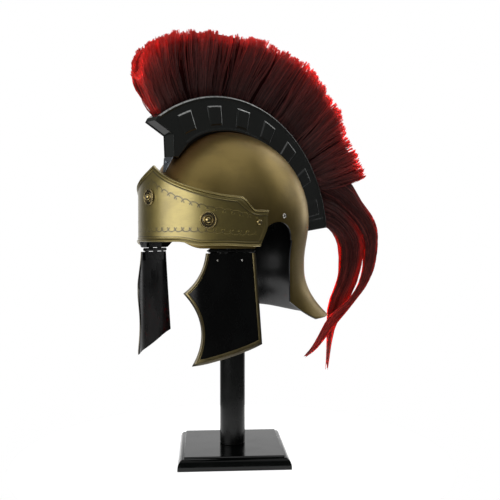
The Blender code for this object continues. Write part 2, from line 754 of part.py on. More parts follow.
def hinge_tube(name, frame, runs, surface):
    """A knuckle about the hinge's axis: outer wall out and bore back, as one closed loft."""
    rings = []
    for run, radius in ((runs[0], KNUCKLE_RADIUS), (runs[1], KNUCKLE_RADIUS),
                        (runs[1], KNUCKLE_BORE), (runs[0], KNUCKLE_BORE)):
        turns = [2 * math.pi * (k + 0.5) / 16 for k in range(16)]
        rings.append([frame(run, radius * math.sin(a), radius * math.cos(a)) for a in turns])
    return add_object(name, loft(rings, ends="loop"), surface)


def hinge_leaf(name, sign, runs, rises, knuckles, parent, surfaces):
    """One leaf with its knuckles, joined into one body about the hinge's axis."""
    forward, outward = hinge_axes(sign)

    def frame(run, rise, depth):
        return (forward * run + outward * depth) * 0.001 + mm(0.0, 0.0, rise)
    half = LEAF_WALL / 2
    web_start = math.copysign((KNUCKLE_BORE + KNUCKLE_RADIUS) / 2, rises[1])
    leaf = hinge_box(name, frame, runs, rises, (-half, half), surfaces["hinge"])
    guides = []
    for k, span in enumerate(knuckles):
        web = (max(span[0], runs[0]) + 0.3, min(span[1], runs[1]) - 0.3)
        web_end = rises[0] + math.copysign(0.8, rises[1])
        guides.append(hinge_box(f"{name}_web_{k}", frame, web, (web_start, web_end),
                                (0.1 - half, half - 0.1), surfaces["hinge"]))
        guides.append(hinge_tube(f"{name}_tube_{k}", frame, span, surfaces["hinge"]))
    unite(leaf, guides)
    for part in (leaf, *guides):
        part.parent = parent


def make_hinge(side, sign, swinging, surfaces):
    fixed = bpy.data.objects.new("hinge_" + side, None)
    fixed.location = hinge_centre(sign)
    bpy.context.collection.objects.link(fixed)
    hinge_leaf("hinge_fixed_" + side, sign, FIXED_LEAF, (LEAF_CLEARANCE, LEAF_RISE),
               knuckle_spans(1), fixed, surfaces)
    hinge_leaf("hinge_leaf_" + side, sign, SWINGING_LEAF, (-LEAF_CLEARANCE, -LEAF_DROP),
               knuckle_spans(0), swinging, surfaces)
    half = HINGE_LENGTH / 2
    profile = [(0.6, -half - 2.0), (PIN_RADIUS, -half - 1.6),
               (PIN_RADIUS, half + 1.6), (0.6, half + 2.0)]
    pin = add_object("hinge_pin_" + side, turned(profile, 16), surfaces["hinge"])
    pin.parent = fixed
    point_along(pin, hinge_axes(sign)[0])


def make_cheek_guard(side, sign, surfaces):
    parent = cheek_parent(side, sign)
    make_cheek_plate(side, sign, parent, surfaces)
    make_cheek_trim(side, sign, parent, surfaces)
    make_hinge(side, sign, parent, surfaces)
    outward = hinge_axes(sign)[1]
    for which, run in CHEEK_RIVETS.items():
        place = cheek_place(sign)(run, CHEEK_RIVET_Z, FIT_GAP)
        head = rivet(f"cheek_rivet_{which}_{side}", surfaces["silver"], 1.9, 1.2, place, outward)
        head.parent = parent


# ---- Plume ----

BRUSH_TIPS = (
    # (angle about the rim's centre in degrees, reach from it in mm)
    (124.2, 256.0), (120.0, 274.5), (113.0, 281.0), (99.0, 286.0), (84.3, 288.5), (69.2, 298.5),
    (60.0, 306.5), (51.0, 308.0), (41.0, 304.0), (32.0, 295.5), (26.0, 304.0), (19.5, 306.0),
)
BRUSH_SECTION = (
    # (part of the hair's length, part of the way from root half width to tip half width)
    (0.0, 0.0), (0.3, 0.35), (0.6, 0.7), (0.85, 1.0), (0.96, 0.55),
)
OUTER_LOCK = {
    # (y, z) points of the two edges in mm, from the crest box to the tip
    "outer": ((144.2, 422.7), (200.0, 413.0), (248.0, 393.0), (276.0, 362.0), (297.0, 346.0),
              (312.0, 326.0), (315.0, 300.0), (306.0, 260.0), (284.0, 228.0), (259.0, 207.0),
              (231.0, 184.0), (206.0, 167.0), (180.0, 145.0), (160.0, 131.0), (137.0, 121.5)),
    "inner": ((170.0, 377.5), (206.0, 364.0), (232.0, 350.0), (258.0, 334.0), (276.0, 316.0),
              (285.0, 300.0), (285.0, 284.0), (280.0, 256.0), (266.0, 230.0), (247.0, 209.0),
              (218.0, 194.0), (190.0, 178.0), (169.0, 153.0), (151.0, 133.0), (135.0, 123.0)),
    "shift": 6.5,
}
INNER_LOCK = {
    "outer": ((172.5, 372.0), (205.0, 358.0), (232.0, 344.0), (255.0, 327.0), (273.0, 308.0),
              (280.0, 290.0), (278.5, 262.0), (269.5, 231.0), (255.0, 209.0), (240.5, 187.0),
              (225.0, 170.0), (214.0, 148.0), (208.0, 124.0), (201.5, 94.0)),
    "inner": ((184.5, 325.0), (194.0, 321.5), (203.0, 317.0), (213.0, 309.0), (220.0, 298.0),
              (224.0, 285.0), (227.0, 256.0), (222.0, 231.0), (210.0, 211.0), (202.0, 190.0),
              (201.0, 167.0), (200.0, 145.0), (200.0, 122.0), (197.5, 91.0)),
    "shift": -5.5,
}
LOCK_ROOT_HALF = 9.5
LOCK_MIDDLE_HALF = 10.0
LOCK_PRESSED = 0.5
LOCK_TIP_HALF = 2.0


def make_brush(surfaces):
    """The hair brush on the crest box: sections across it, from the front to the back."""
    tips = smooth_curve([Vector(pair) for pair in BRUSH_TIPS], 4)
    rings = []
    for k, tip in enumerate(tips):
        part = k / (len(tips) - 1)
        root_deg = BRUSH_ROOT_DEGS[0] + (BRUSH_ROOT_DEGS[1] - BRUSH_ROOT_DEGS[0]) * part
        root = crest_point(root_deg, CREST_RIM_RADIUS + FIT_GAP)
        end = crest_point(tip.x, tip.y)
        side = []
        for along, across in BRUSH_SECTION:
            x = BRUSH_ROOT_HALF + (BRUSH_TIP_HALF - BRUSH_ROOT_HALF) * across
            side.append((root.lerp(end, along), x))
        ring = [point + mm(x, 0, 0) for point, x in side] + [end]
        ring += [point - mm(x, 0, 0) for point, x in reversed(side)]
        rings.append(ring)
    add_object("plume_brush", loft(rings), surfaces["hair"], smooth_deg=60.0)


def make_lock(name, lock, surfaces):
    """A hanging lock between its outer and inner edge, leaning to one side where locks cross."""
    edges = [smooth_curve([Vector(pair) for pair in lock[edge]], 2) for edge in ("outer", "inner")]
    rings = []
    for k, (outer, inner) in enumerate(zip(*edges)):
        part = k / (len(edges[0]) - 1)
        half = LOCK_ROOT_HALF + (LOCK_MIDDLE_HALF - LOCK_ROOT_HALF) * smoothstep(0.0, 0.3, part)
        half += (LOCK_TIP_HALF - LOCK_MIDDLE_HALF) * smoothstep(0.35, 1.0, part)
        half *= 1.0 - LOCK_PRESSED * smoothstep(0.35, 0.6, part) * smoothstep(1.0, 0.75, part)
        middle, reach = (outer + inner) / 2, (outer - inner) / 2
        shift = lock["shift"] * smoothstep(0.35, 0.6, part)
        ring = []
        for turn in spread(0.0, 2 * math.pi, 12)[:-1]:
            edge = middle + reach * math.cos(turn)
            ring.append(mm(shift + half * math.sin(turn), edge.x, edge.y))
        rings.append(ring)
    add_object(name, loft(rings), surfaces["hair"], smooth_deg=60.0)


def main():
    for old in list(bpy.data.objects):
        bpy.data.objects.remove(old)
    surfaces = make_materials()
    make_base(surfaces)
    make_pole_and_head(surfaces)
    make_skull(surfaces)
    make_band(surfaces)
    make_rosettes(surfaces)
    make_band_and_skull_rivets(surfaces)
    make_crest_box(surfaces)
    make_crest_tab(surfaces)
    for side, sign in (("left", 1.0), ("right", -1.0)):
        make_cheek_guard(side, sign, surfaces)
    make_brush(surfaces)
    make_lock("plume_tail_outer", OUTER_LOCK, surfaces)
    make_lock("plume_tail_inner", INNER_LOCK, surfaces)


main()
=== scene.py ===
"""Looks of the roman centurion helmet on its stand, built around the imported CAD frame.

Dimensions are in millimetres, apart from the studio's, and mm() turns them into metres. The
frame is the CAD's: origin under the base plate, +Z up, the face looks along -Y, the wearer's
left side is +X.
"""

import math

import bmesh
import bpy
import numpy as np
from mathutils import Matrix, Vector


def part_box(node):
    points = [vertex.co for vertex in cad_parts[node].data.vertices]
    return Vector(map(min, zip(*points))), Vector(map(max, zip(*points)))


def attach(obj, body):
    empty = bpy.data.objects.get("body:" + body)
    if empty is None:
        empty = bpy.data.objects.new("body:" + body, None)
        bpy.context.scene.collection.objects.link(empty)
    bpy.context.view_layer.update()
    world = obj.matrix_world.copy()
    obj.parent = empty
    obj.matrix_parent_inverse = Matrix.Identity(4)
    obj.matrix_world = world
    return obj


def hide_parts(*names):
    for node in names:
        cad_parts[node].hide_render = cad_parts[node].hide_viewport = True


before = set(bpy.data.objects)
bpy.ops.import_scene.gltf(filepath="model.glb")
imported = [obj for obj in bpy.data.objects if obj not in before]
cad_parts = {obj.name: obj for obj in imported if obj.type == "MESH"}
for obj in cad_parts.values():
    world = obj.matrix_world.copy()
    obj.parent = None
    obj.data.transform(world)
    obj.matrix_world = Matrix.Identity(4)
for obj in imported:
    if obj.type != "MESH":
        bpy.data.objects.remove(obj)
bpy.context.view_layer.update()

# ---- Camera: in front of the helmet's left cheek, a little above the guards ----
VIEW_AZIMUTH_DEG = 48.83
CAMERA_DISTANCE = 1005.6
CAMERA_SIDE = 24.7
CAMERA_Z = 302.4
CAMERA_PITCH_DEG = 0.86
CAMERA_LENS = 51.64

# ---- Studio, in metres: dim around the camera, brighter straight behind the helmet ----
WORLD_TURN = (0.55, 0.97)
WORLD_STRENGTH = (0.06, 0.95)
FLOOR_RADIUS = 0.30
FLOOR_GLOW = 0.9
FLOOR_DROP = 0.0005
LIGHTS_AIM = (0.0, 0.0, 0.33)
LIGHTS = {
    # name: (degrees right of the camera, degrees up, distance in m, size in m, power in W)
    "key_left": (-46.0, 9.0, 1.6, (1.6, 1.0), 12.8),
    "side_right": (112.0, 32.0, 1.6, (0.5, 1.0), 2.3),
    "rim_right": (138.0, 10.0, 1.6, (0.45, 0.6), 1.1),
    "rim_top": (180.0, 52.0, 1.6, (1.2, 0.5), 5.0),
    "rim_upper": (150.0, 38.0, 1.6, (0.7, 0.5), 2.6),
    "front_right": (45.0, 36.0, 1.6, (1.2, 1.0), 0.9),
    "top": (0.0, 84.0, 1.5, (2.0, 2.0), 6.5),
}

# ---- Stand ----
BASE_SIDE = 150.0
BASE_TOP_SIDE = 132.5
BASE_THICKNESS = 16.9
BASE_EDGE_HEIGHT = 3.0
BASE_STEP_HEIGHT = 2.3
BASE_LEDGE = 0.8
OVOLO_STEPS = 14
BASE_BORDER = 3.0
BASE_YAW_DEG = 52.7
POLE_RADIUS = 17.5
POLE_SIDES = 96
POLE_FOOT_Z = 17.2
POLE_CHAMFER = 0.6
POLE_FOOT = (
    # (in from the pole's side, up from its foot) in mm: a chamfer and a scored ring
    (POLE_CHAMFER, 0.0), (0.0, 0.5), (0.0, 1.6), (0.35, 1.9), (0.35, 2.3), (0.0, 2.6),
)

# ---- Skull ----
DOME_Y = -9.8
DOME_FRONT = 117.3
DOME_REAR = 128.1
DOME_HALF_WIDTH = 97.9
DOME_EQUATOR_Z = 328.5
DOME_TOP_Z = 450.2
DOME_HEIGHT = DOME_TOP_Z - DOME_EQUATOR_Z
SKULL_WALL = 2.0
SKULL_RIM_Z = 290.8
RIM_BAND = 21.0
FACE_RIM_Z = 312.0
EAR_Y = -2.0
EAR_HALF_WIDTH = 28.3
EAR_SPRING_Z = 300.0
EAR_RISE = 24.0
EAR_REAR_DEG = 72.0
EAR_FRONT_DEG = 99.5
HINGE_RIM_DEG = 104.0
FACE_RIM_DEGS = (138.0, 168.0)
BROW_SEAT_START_DEGS = (97.0, 106.0)
BROW_SEAT_END_DEGS = (166.0, 150.0)
WAIST_DEPTH = 6.5
WAIST_FADE_DEGS = (105.0, 80.0)
WAIST_HEIGHT = 58.0
NECK_JOIN_Z = 301.0
NECK_RIM_Z = 198.0
NECK_RIM_TILT = 7.5
NECK_RIM_SAG = 6.0
NECK_RIM_SAG_DEGS = (35.0, 5.0)
NECK_CORNER_RISE = 28.0
NECK_CORNER_DEG = 50.5
NECK_FLARE = 38.5
NECK_FLARE_TOP_Z = 262.0
NECK_FLARE_DROP = 70.0
NECK_FLARE_DEGS = (77.0, 25.0)
DOME_ROWS = 34
RIM_ROWS = 10
NECK_ROWS = 30
BACK_COLUMNS = 30
EAR_COLUMNS = 22
HINGE_COLUMNS = 6
FRONT_COLUMNS = 30

# ---- Brow band ----
BAND_Y = -18.0
BAND_FRONT = 119.5
BAND_HALF_WIDTH = 104.0
BAND_WALL = 1.6
BAND_GAP = 0.7
BAND_BOTTOM_Z = 294.5
BAND_BROW_RISE = 4.6
BAND_BROW_DEGS = (46.0, 27.0)
BAND_SIDE_Z = 356.0
BAND_PEAK_RISE = 41.0
BAND_PEAK_SPAN_DEG = 68.0
BAND_PEAK_POWER = 1.75
BAND_END_STEP = 16.5
BAND_END_STEP_DEGS = (66.5, 77.0)
BAND_END_DROP = 1.2
BAND_END_DROP_DEGS = (60.0, 78.0)
BAND_END_DEG = 85.5
BAND_END_SLANT_DEG = 6.6
BAND_END_SLANT_Z = (320.0, 292.0)
BAND_LEAN_Z = 361.0
BAND_LEAN = 0.19
BAND_LEAN_DEG = 32.0

# ---- Scallops engraved on the band, as rows of overlapping arcs ----
SCALLOP_PITCH = 9.7
SCALLOP_RADIUS = 6.2
SCALLOP_LINE = 0.52
UPPER_ROW_DROP = 24.2
UPPER_ROW_DIP = 4.5
UPPER_ROW_DIP_DEGS = (60.0, 76.0)
LOWER_ROW_Z = 318.2
LOWER_ROW_DIP = 4.0
LOWER_ROW_DIP_DEGS = (30.0, 75.0)
ROWS_END_DEGS = (82.0, 70.0)
BEAD_STEP_DEGS = (64.5, 80.0)
BEAD_DEPTH = 7.1
BEADS = {
    # name: (how far in from its edge, width, height), in mm
    "top": (-0.4, 3.2, 1.9), "bottom": (-0.4, 3.4, 1.7), "above_bottom": (3.2, 3.0, 0.5),
    "end": (1.2, 4.4, 0.5),
}
SECOND_BEAD_DROP = 2.9
SECOND_BEAD_HEIGHT = 1.0
GROOVE_DROP = 5.2
# grooves by the beads, which get painted shade
BEAD_GROOVES = (
    # (which edge it is measured from, how far in, half width), in mm
    ("below_top", 3.0, 0.6), ("above_groove", -0.4, 1.2), ("above_bottom", 3.3, 0.5),
    ("above_bottom", 6.6, 0.8),
)
LOWER_BEADS_TOP = 6.6
GROOVE_FOOT = 1.2
BAND_REAR_BEAD = 7.0
INSIDE_MARK = -9.0
BAND_END_COLUMNS = 12
BAND_COLUMNS = 104
BAND_ROWS = (14, 16, 22)

# ---- Fittings ----
FIT_GAP = 0.3
ROSETTE_FRONT_Z = 356.0
ROSETTE_SIDE_Z = 326.0
ROSETTE_SIDE_DEG = 46.2
ROSETTE_FLUTES = 36
BAND_RIVET_DEG = 78.9
BAND_RIVET_Z = 324.0
SKULL_RIVET_DEG = 82.5
SKULL_RIVET_Z = 333.0

# ---- Crest box ----
CREST_HALF_WIDTH = 11.5
CREST_RIM_Y = -15.0
CREST_RIM_Z = 300.5
CREST_RIM_RADIUS = 197.0
CREST_FRONT_DEG = 127.0
CREST_REAR_DEG = 5.8
CREST_SEAM_DEG = 10.7
CREST_LIP_WIDTH = 5.0
CREST_LIP_PROUD = 1.2
CREST_DOME_GAP = 0.8
CREST_FRONT_GAP = 3.4
CREST_FRONT_GAP_DEGS = (95.0, 125.0)
CREST_DOME_DEGS = (-7.8, 129.0)
CREST_FRONT = ((-136.2, 453.2), (-107.2, 437.8), (-105.9, 409.5), (-100.5, 408.2))
FLARE_LIP = ((-136.7, 452.3), (-108.2, 437.1), (-106.9, 409.6))
FLARE_LIP_INNER = 9.9
# a near-black body in the gap between the box and the dome, put there as the shade in that gap
GAP_SHADE_DEGS = (-7.0, 139.0)
GAP_SHADE_HALF_WIDTH = 6.0
GAP_SHADE_LIFTS = (-0.9, -0.05)
FLANGE_LIFTS = (0.3, 3.6)
FLANGE_PROUD = 0.7
LIP_CHAMFER = 2.0
LIP_TOP_INSET = 0.2
LIP_END_DEGS = (0.3, 0.5)
REAR_BAR_INSETS = (2.0, 5.6)
REAR_BAR_PROUD = 0.45
REAR_BAR_CHAMFER = 0.4
CREST_STEPS = 80
GAP_SHADE_STEPS = 40
RIM_STEPS = 90
PANEL_COUNT = 7
PANEL_FIRST_DEG = 114.6
PANEL_PITCH_DEG = 16.38
PANEL_LENGTH = 22.5
PANEL_INNER_RADIUS = 157.5
PANEL_OUTER_RADIUS = 184.0
PANEL_PROUD = 1.3
PANEL_CHAMFER = 2.1
PANEL_STEPS = 8
CHAMFER_SLOPE = 0.577
TAB_TOP = (0.0, -107.0, 408.6)
TAB_TIP = (0.0, -113.9, 388.6)
TAB_HALF_WIDTHS = (10.5, 2.5)
TAB_WALL = 1.4
TAB_RIVET_DROP = 7.5

# ---- Cheek guards ----
SIDES = {"left": 1.0, "right": -1.0}
HINGE_X = 87.1
HINGE_Y = -73.5
HINGE_TOE_IN_DEG = 25.7
CHEEK_WALL = 1.5
CHEEK_BENDS = {"front": (28.0, 0.0125), "rear": (20.0, 0.0086)}
PLATE_INSET = 0.3
PLATE_STEPS = 28
TIP_PARTS = (0.4, 0.7, 0.9)
CHEEK_TOP_FRONT = (33.0, 285.0)
CHEEK_HOOK = (59.0, 235.0)
CHEEK_POINT = (49.5, 145.0)
CHEEK_REAR_FOOT = (-40.3, 169.8)
CHEEK_TOP_REAR = (-31.0, 285.0)
CHEEK_SAGS = {"front": -5.5, "hook": -15.5, "foot": 2.5}
TRIM_WIDTH = 4.4
TRIM_FOOT_WIDTH = 7.0
TRIM_HEIGHT = 1.4
TRIM_GAP = 0.45
CHEEK_RIVET_Z = 276.3
CHEEK_RIVETS = {"front": 18.0, "rear": -13.4}
HOOK_STEPS = 14
POINT_STEPS = 20
FOOT_STEPS = 10

# ---- Plume: outlines in the helmet's middle plane ----
BRUSH_ROOT_HALF = 9.5
BRUSH_TIP_HALF = 13.0
BRUSH_ROOTS = (124.6, 121.5, 115.5, 103.5, 90.0, 77.0, 64.5, 53.0, 43.0, 35.0, 29.0, 23.5)
BRUSH_TIPS = (
    # (angle about the rim's centre in degrees, reach from it in mm)
    (124.2, 256.0), (120.0, 274.5), (113.0, 281.0), (99.0, 286.0), (84.3, 288.5), (69.2, 298.5),
    (60.0, 306.5), (51.0, 308.0), (41.0, 304.0), (32.0, 295.5), (26.0, 304.0), (19.5, 306.0),
)
OUTER_LOCK = {
    # (y, z) points of the two edges in mm, from inside the crest box to the tip
    "outer": ((139.7, 419.2), (200.0, 413.0), (248.0, 393.0), (276.0, 362.0), (297.0, 346.0),
              (312.0, 326.0), (315.0, 300.0), (306.0, 260.0), (284.0, 228.0), (259.0, 207.0),
              (231.0, 184.0), (206.0, 167.0), (180.0, 145.0), (160.0, 131.0), (137.0, 121.5)),
    "inner": ((165.0, 375.4), (206.0, 364.0), (232.0, 350.0), (258.0, 334.0), (276.0, 316.0),
              (285.0, 300.0), (285.0, 284.0), (280.0, 256.0), (266.0, 230.0), (247.0, 209.0),
              (218.0, 194.0), (190.0, 178.0), (169.0, 153.0), (151.0, 133.0), (135.0, 123.0)),
    "shift": 6.5,
}
INNER_LOCK = {
    "outer": ((167.2, 370.1), (205.0, 358.0), (232.0, 344.0), (255.0, 327.0), (273.0, 308.0),
              (280.0, 290.0), (278.5, 262.0), (269.5, 231.0), (255.0, 209.0), (240.5, 187.0),
              (225.0, 170.0), (214.0, 148.0), (208.0, 124.0), (201.5, 94.0)),
    "inner": ((178.5, 324.3), (194.0, 321.5), (203.0, 317.0), (213.0, 309.0), (220.0, 298.0),
              (224.0, 285.0), (227.0, 256.0), (222.0, 231.0), (210.0, 211.0), (202.0, 190.0),
              (201.0, 167.0), (200.0, 145.0), (200.0, 122.0), (197.5, 91.0)),
    "shift": -5.5,
}
LOCK_ROOT_HALF = 9.5
LOCK_MIDDLE_HALF = 10.0
LOCK_PRESSED = 0.5
LOCK_TIP_HALF = 2.0
LOCK_OVERLAP = 0.30
# turn about a lock where its hairs stand at the silhouette in this view; the hairs there get a painted glow
EDGE_TURN = math.radians(26.0)
STRAY_PART = 0.05
STRAY_LENGTH = 8.0
BRUSH_CLUMPS = 1480
OUTER_LOCK_CLUMPS = 215
INNER_LOCK_CLUMPS = 185
CLUMP_HAIRS = 9
BRUSH_STEPS = 7
LOCK_STEPS = 14
HAIR_RADIUS = 0.36
BURIED_DEPTH = 3.0
ROOT_DEPTH = 1.0
GATHER = 0.65
CLOSING = 0.3
SHORTER = 0.05
LOCK_SHORTER = 0.3
SCATTER = {
    # name: (mean, standard deviation) of what tells one clump or hair from the next, with
    # dye as its logarithm
    "clump_length": (0.0, 0.9), "clump_tip": (0.0, 0.003), "clump_dye": (-0.22, 0.30),
    "clump_bow": (0.0, 1.8), "clump_wave": (0.0, 1.4),
    "hair_part": (0.0, 0.0022), "hair_across": (0.0, 0.06), "hair_bow": (0.0, 0.5),
    "hair_wave": (0.0, 0.4), "hair_dye": (0.0, 0.45),
    "lock_clump_twist": (0.0, 0.35), "lock_clump_dye": (-0.15, 0.30), "lock_clump_sway": (0.0, 0.10),
    "lock_hair_turn": (0.0, 0.16), "lock_hair_loose": (0.0, 0.05), "lock_hair_dye": (0.0, 0.5),
}
RIPPLES = {
    # name: (knots along the brush, standard deviation at them)
    "length": (90, 1.3), "tuft_length": (26, 2.0), "lean": (60, 0.003), "bow": (40, 1.8),
    "wave": (60, 0.7),
}
END_SHARE = 0.04
MIDDLE_SHARE = 0.16
# painted glow: the part of a hair's length, near its tip, where it brightens as if lit from behind
FRINGE = (0.76, 0.96)
# painted light: how much brighter the hair at the front of the brush is made
FRONT_PAINTED_LIGHT = 2.0
FRONT_BOW = 3.5
# painted glow: the front edge of the brush, whose hairs are bright along their whole length
FRONT_EDGE_GLOW = (0.03, 0.0)
# painted light: how much brighter the hair at the rear of the brush is made
REAR_PAINTED_LIGHT = 0.7
CORE_PARTS = (0.02, 0.985)
CORE_SECTION = (
    # (part of the hair's length, half width in mm)
    (0.0, 8.0), (0.25, 8.6), (0.5, 9.2), (0.75, 8.6), (0.88, 6.5), (0.95, 3.0),
)
CORE_STEPS = 60
# painted shade: how much darker the core's hair is made
CORE_PAINTED_SHADE = 0.5
LOCK_CORE_SIDES = 12
LOCK_CORE_FILL = 0.72
LOCK_CORE_END = 0.93
LOCK_CORE_STEPS = 50
SEED = 7

# ---- Colours laid over the paint and metal, as linear RGB; WHITE has alpha as well ----
# painted reflection of the red plume, laid on the dome beside the crest box
PAINTED_PLUME_REFLECTION = (0.38, 0.18, 0.055)
SCALLOP_CUT = (0.09, 0.065, 0.022)
# painted highlight along the lip outside each engraved scallop
SCALLOP_PAINTED_HIGHLIGHT = (0.62, 0.52, 0.24)
# painted shade in the grooves beside the band's beads
GROOVE_PAINTED_SHADE = (0.07, 0.05, 0.016)
DUST = (0.09, 0.10, 0.09)
WHITE = (1.0, 1.0, 1.0, 1.0)


def mm(*values):
    """A point or vector given in millimetres, in metres."""
    return Vector(values) * 0.001


def smoothstep(low, high, value):
    """From 0 at low to 1 at high, for a number or an array."""
    t = np.clip((value - low) / (high - low), 0.0, 1.0)
    return t * t * (3.0 - 2.0 * t)


def spread(first, last, count):
    """count + 1 evenly spaced values, both ends included."""
    return [first + (last - first) * i / count for i in range(count + 1)]


def smooth_curve(knots, steps):
    """Catmull-Rom curve through the knots, with this many steps between neighbours."""
    ends = [2 * knots[0] - knots[1], *knots, 2 * knots[-1] - knots[-2]]
    points = []
    for a, b, c, d in zip(ends, ends[1:], ends[2:], ends[3:]):
        for i in range(steps):
            t = i / steps
            points.append(0.5 * (2 * b + (c - a) * t + (2 * a - 5 * b + 4 * c - d) * t**2
                                 + (3 * b - 3 * c + d - a) * t**3))
    return [*points, knots[-1]]


# ---- Material nodes ----

class Surface:
    """One procedural material: a Principled shader and short calls that add nodes before it."""

    def __init__(self, name, colour, roughness, metallic=0.0, **constants):
        self.material = bpy.data.materials.new(name)
        self.material.use_nodes = True
        self.tree = self.material.node_tree
        self.shader = self.tree.nodes["Principled BSDF"]
        self.shader.inputs["Base Color"].default_value = (*colour, 1.0)
        self.shader.inputs["Roughness"].default_value = roughness
        self.shader.inputs["Metallic"].default_value = metallic
        for socket, value in constants.items():
            self.shader.inputs[socket.replace("_", " ")].default_value = value
        self.place = self.add("ShaderNodeTexCoord").outputs["Object"]
        self.normal = None

    def add(self, kind, **values):
        node = self.tree.nodes.new(kind)
        for key, value in values.items():
            setattr(node, key, value)
        return node

    def link(self, value, socket):
        if isinstance(value, bpy.types.NodeSocket):
            self.tree.links.new(value, socket)
        else:
            socket.default_value = value

    def math(self, operation, a, b=0.0):
        node = self.add("ShaderNodeMath", operation=operation)
        self.link(a, node.inputs[0])
        self.link(b, node.inputs[1])
        return node.outputs[0]

    def times(self, a, b):
        return self.math("MULTIPLY", a, b)

    def most(self, values):
        """The largest of several values."""
        largest = values[0]
        for value in values[1:]:
            largest = self.math("MAXIMUM", largest, value)
        return largest

    def attribute(self, name):
        return self.add("ShaderNodeAttribute", attribute_name=name).outputs["Fac"]

    def noise(self, scale, detail=3.0, stretch=(1.0, 1.0, 1.0)):
        """Noise of this scale per metre, stretched along an axis by a value under 1."""
        mapping = self.add("ShaderNodeMapping")
        mapping.inputs["Scale"].default_value = stretch
        self.link(self.place, mapping.inputs["Vector"])
        node = self.add("ShaderNodeTexNoise")
        settings = {"Vector": mapping.outputs[0], "Scale": scale, "Detail": detail, "Roughness": 0.55}
        for socket, value in settings.items():
            self.link(value, node.inputs[socket])
        return node.outputs["Fac"]

    def remap(self, value, low, high, to_low=0.0, to_high=1.0):
        node = self.add("ShaderNodeMapRange", interpolation_type="SMOOTHSTEP")
        for socket, number in zip(node.inputs, (value, low, high, to_low, to_high)):
            self.link(number, socket)
        return node.outputs[0]

    def mix(self, factor, first, second, blend="MIX"):
        node = self.add("ShaderNodeMix", data_type="RGBA", blend_type=blend)
        self.link(factor, node.inputs["Factor"])
        for socket, colour in ((node.inputs["A"], first), (node.inputs["B"], second)):
            self.link(colour if isinstance(colour, bpy.types.NodeSocket) else (*colour, 1.0), socket)
        return node.outputs["Result"]

    def bump(self, height, depth_mm, strength=1.0):
        node = self.add("ShaderNodeBump")
        node.inputs["Strength"].default_value = strength
        node.inputs["Distance"].default_value = depth_mm * 0.001
        self.link(height, node.inputs["Height"])
        if self.normal is not None:
            self.link(self.normal, node.inputs["Normal"])
        self.normal = node.outputs["Normal"]
        self.link(self.normal, self.shader.inputs["Normal"])

    def colour(self, value):
        self.link(value, self.shader.inputs["Base Color"])

    def roughness(self, value):
        self.link(value, self.shader.inputs["Roughness"])


def brass(name, light, dark, roughness, clear=0.8, dents=0.25, edge_tint=WHITE):
    """Satin antiqued brass under clear lacquer: cloudy patina, brushing, faint unevenness."""
    surface = Surface(name, light, roughness, metallic=1.0, Coat_Weight=clear, Coat_Roughness=0.34,
                      Coat_IOR=1.7, Specular_Tint=edge_tint)
    cloud = surface.remap(surface.noise(14.0, detail=4.0), 0.35, 0.68)
    fleck = surface.remap(surface.noise(900.0, detail=2.0), 0.55, 0.75)
    surface.patina = surface.mix(surface.times(fleck, 0.25), surface.mix(cloud, dark, light), dark)
    surface.colour(surface.patina)
    brushing = surface.noise(700.0, detail=2.0, stretch=(0.12, 0.12, 1.0))
    surface.roughness(surface.remap(surface.math("ADD", brushing, surface.times(cloud, 0.3)),
                                    0.3, 0.9, roughness + 0.06, roughness - 0.05))
    surface.bump(surface.noise(60.0, detail=2.0), dents, 0.35)
    surface.bump(brushing, 0.02, 0.5)
    return surface


def skull_brass():
    """The dome's brass, with a painted reflection of the red plume: a red-brown strip beside the crest box.
    """
    surface = brass("skull_brass", (0.36, 0.257, 0.074), (0.25, 0.178, 0.051), 0.43, clear=0.3,
                    edge_tint=(0.88, 0.83, 0.74, 1.0))
    axes = surface.add("ShaderNodeSeparateXYZ")
    surface.link(surface.place, axes.inputs[0])
    beside = surface.remap(surface.math("ABSOLUTE", axes.outputs[0]), 0.014, 0.042, 0.75, 0.0)
    above = surface.remap(axes.outputs[2], 0.32, 0.43)
    surface.colour(surface.mix(surface.times(beside, above), surface.patina, PAINTED_PLUME_REFLECTION))
    return surface.material


def line_at(surface, value, centre, half_width):
    """One where the value is at the centre, fading to nothing this far from it."""
    off = surface.math("ABSOLUTE", surface.math("SUBTRACT", value, centre))
    return surface.remap(off, 0.35 * half_width, half_width, 1.0, 0.0)


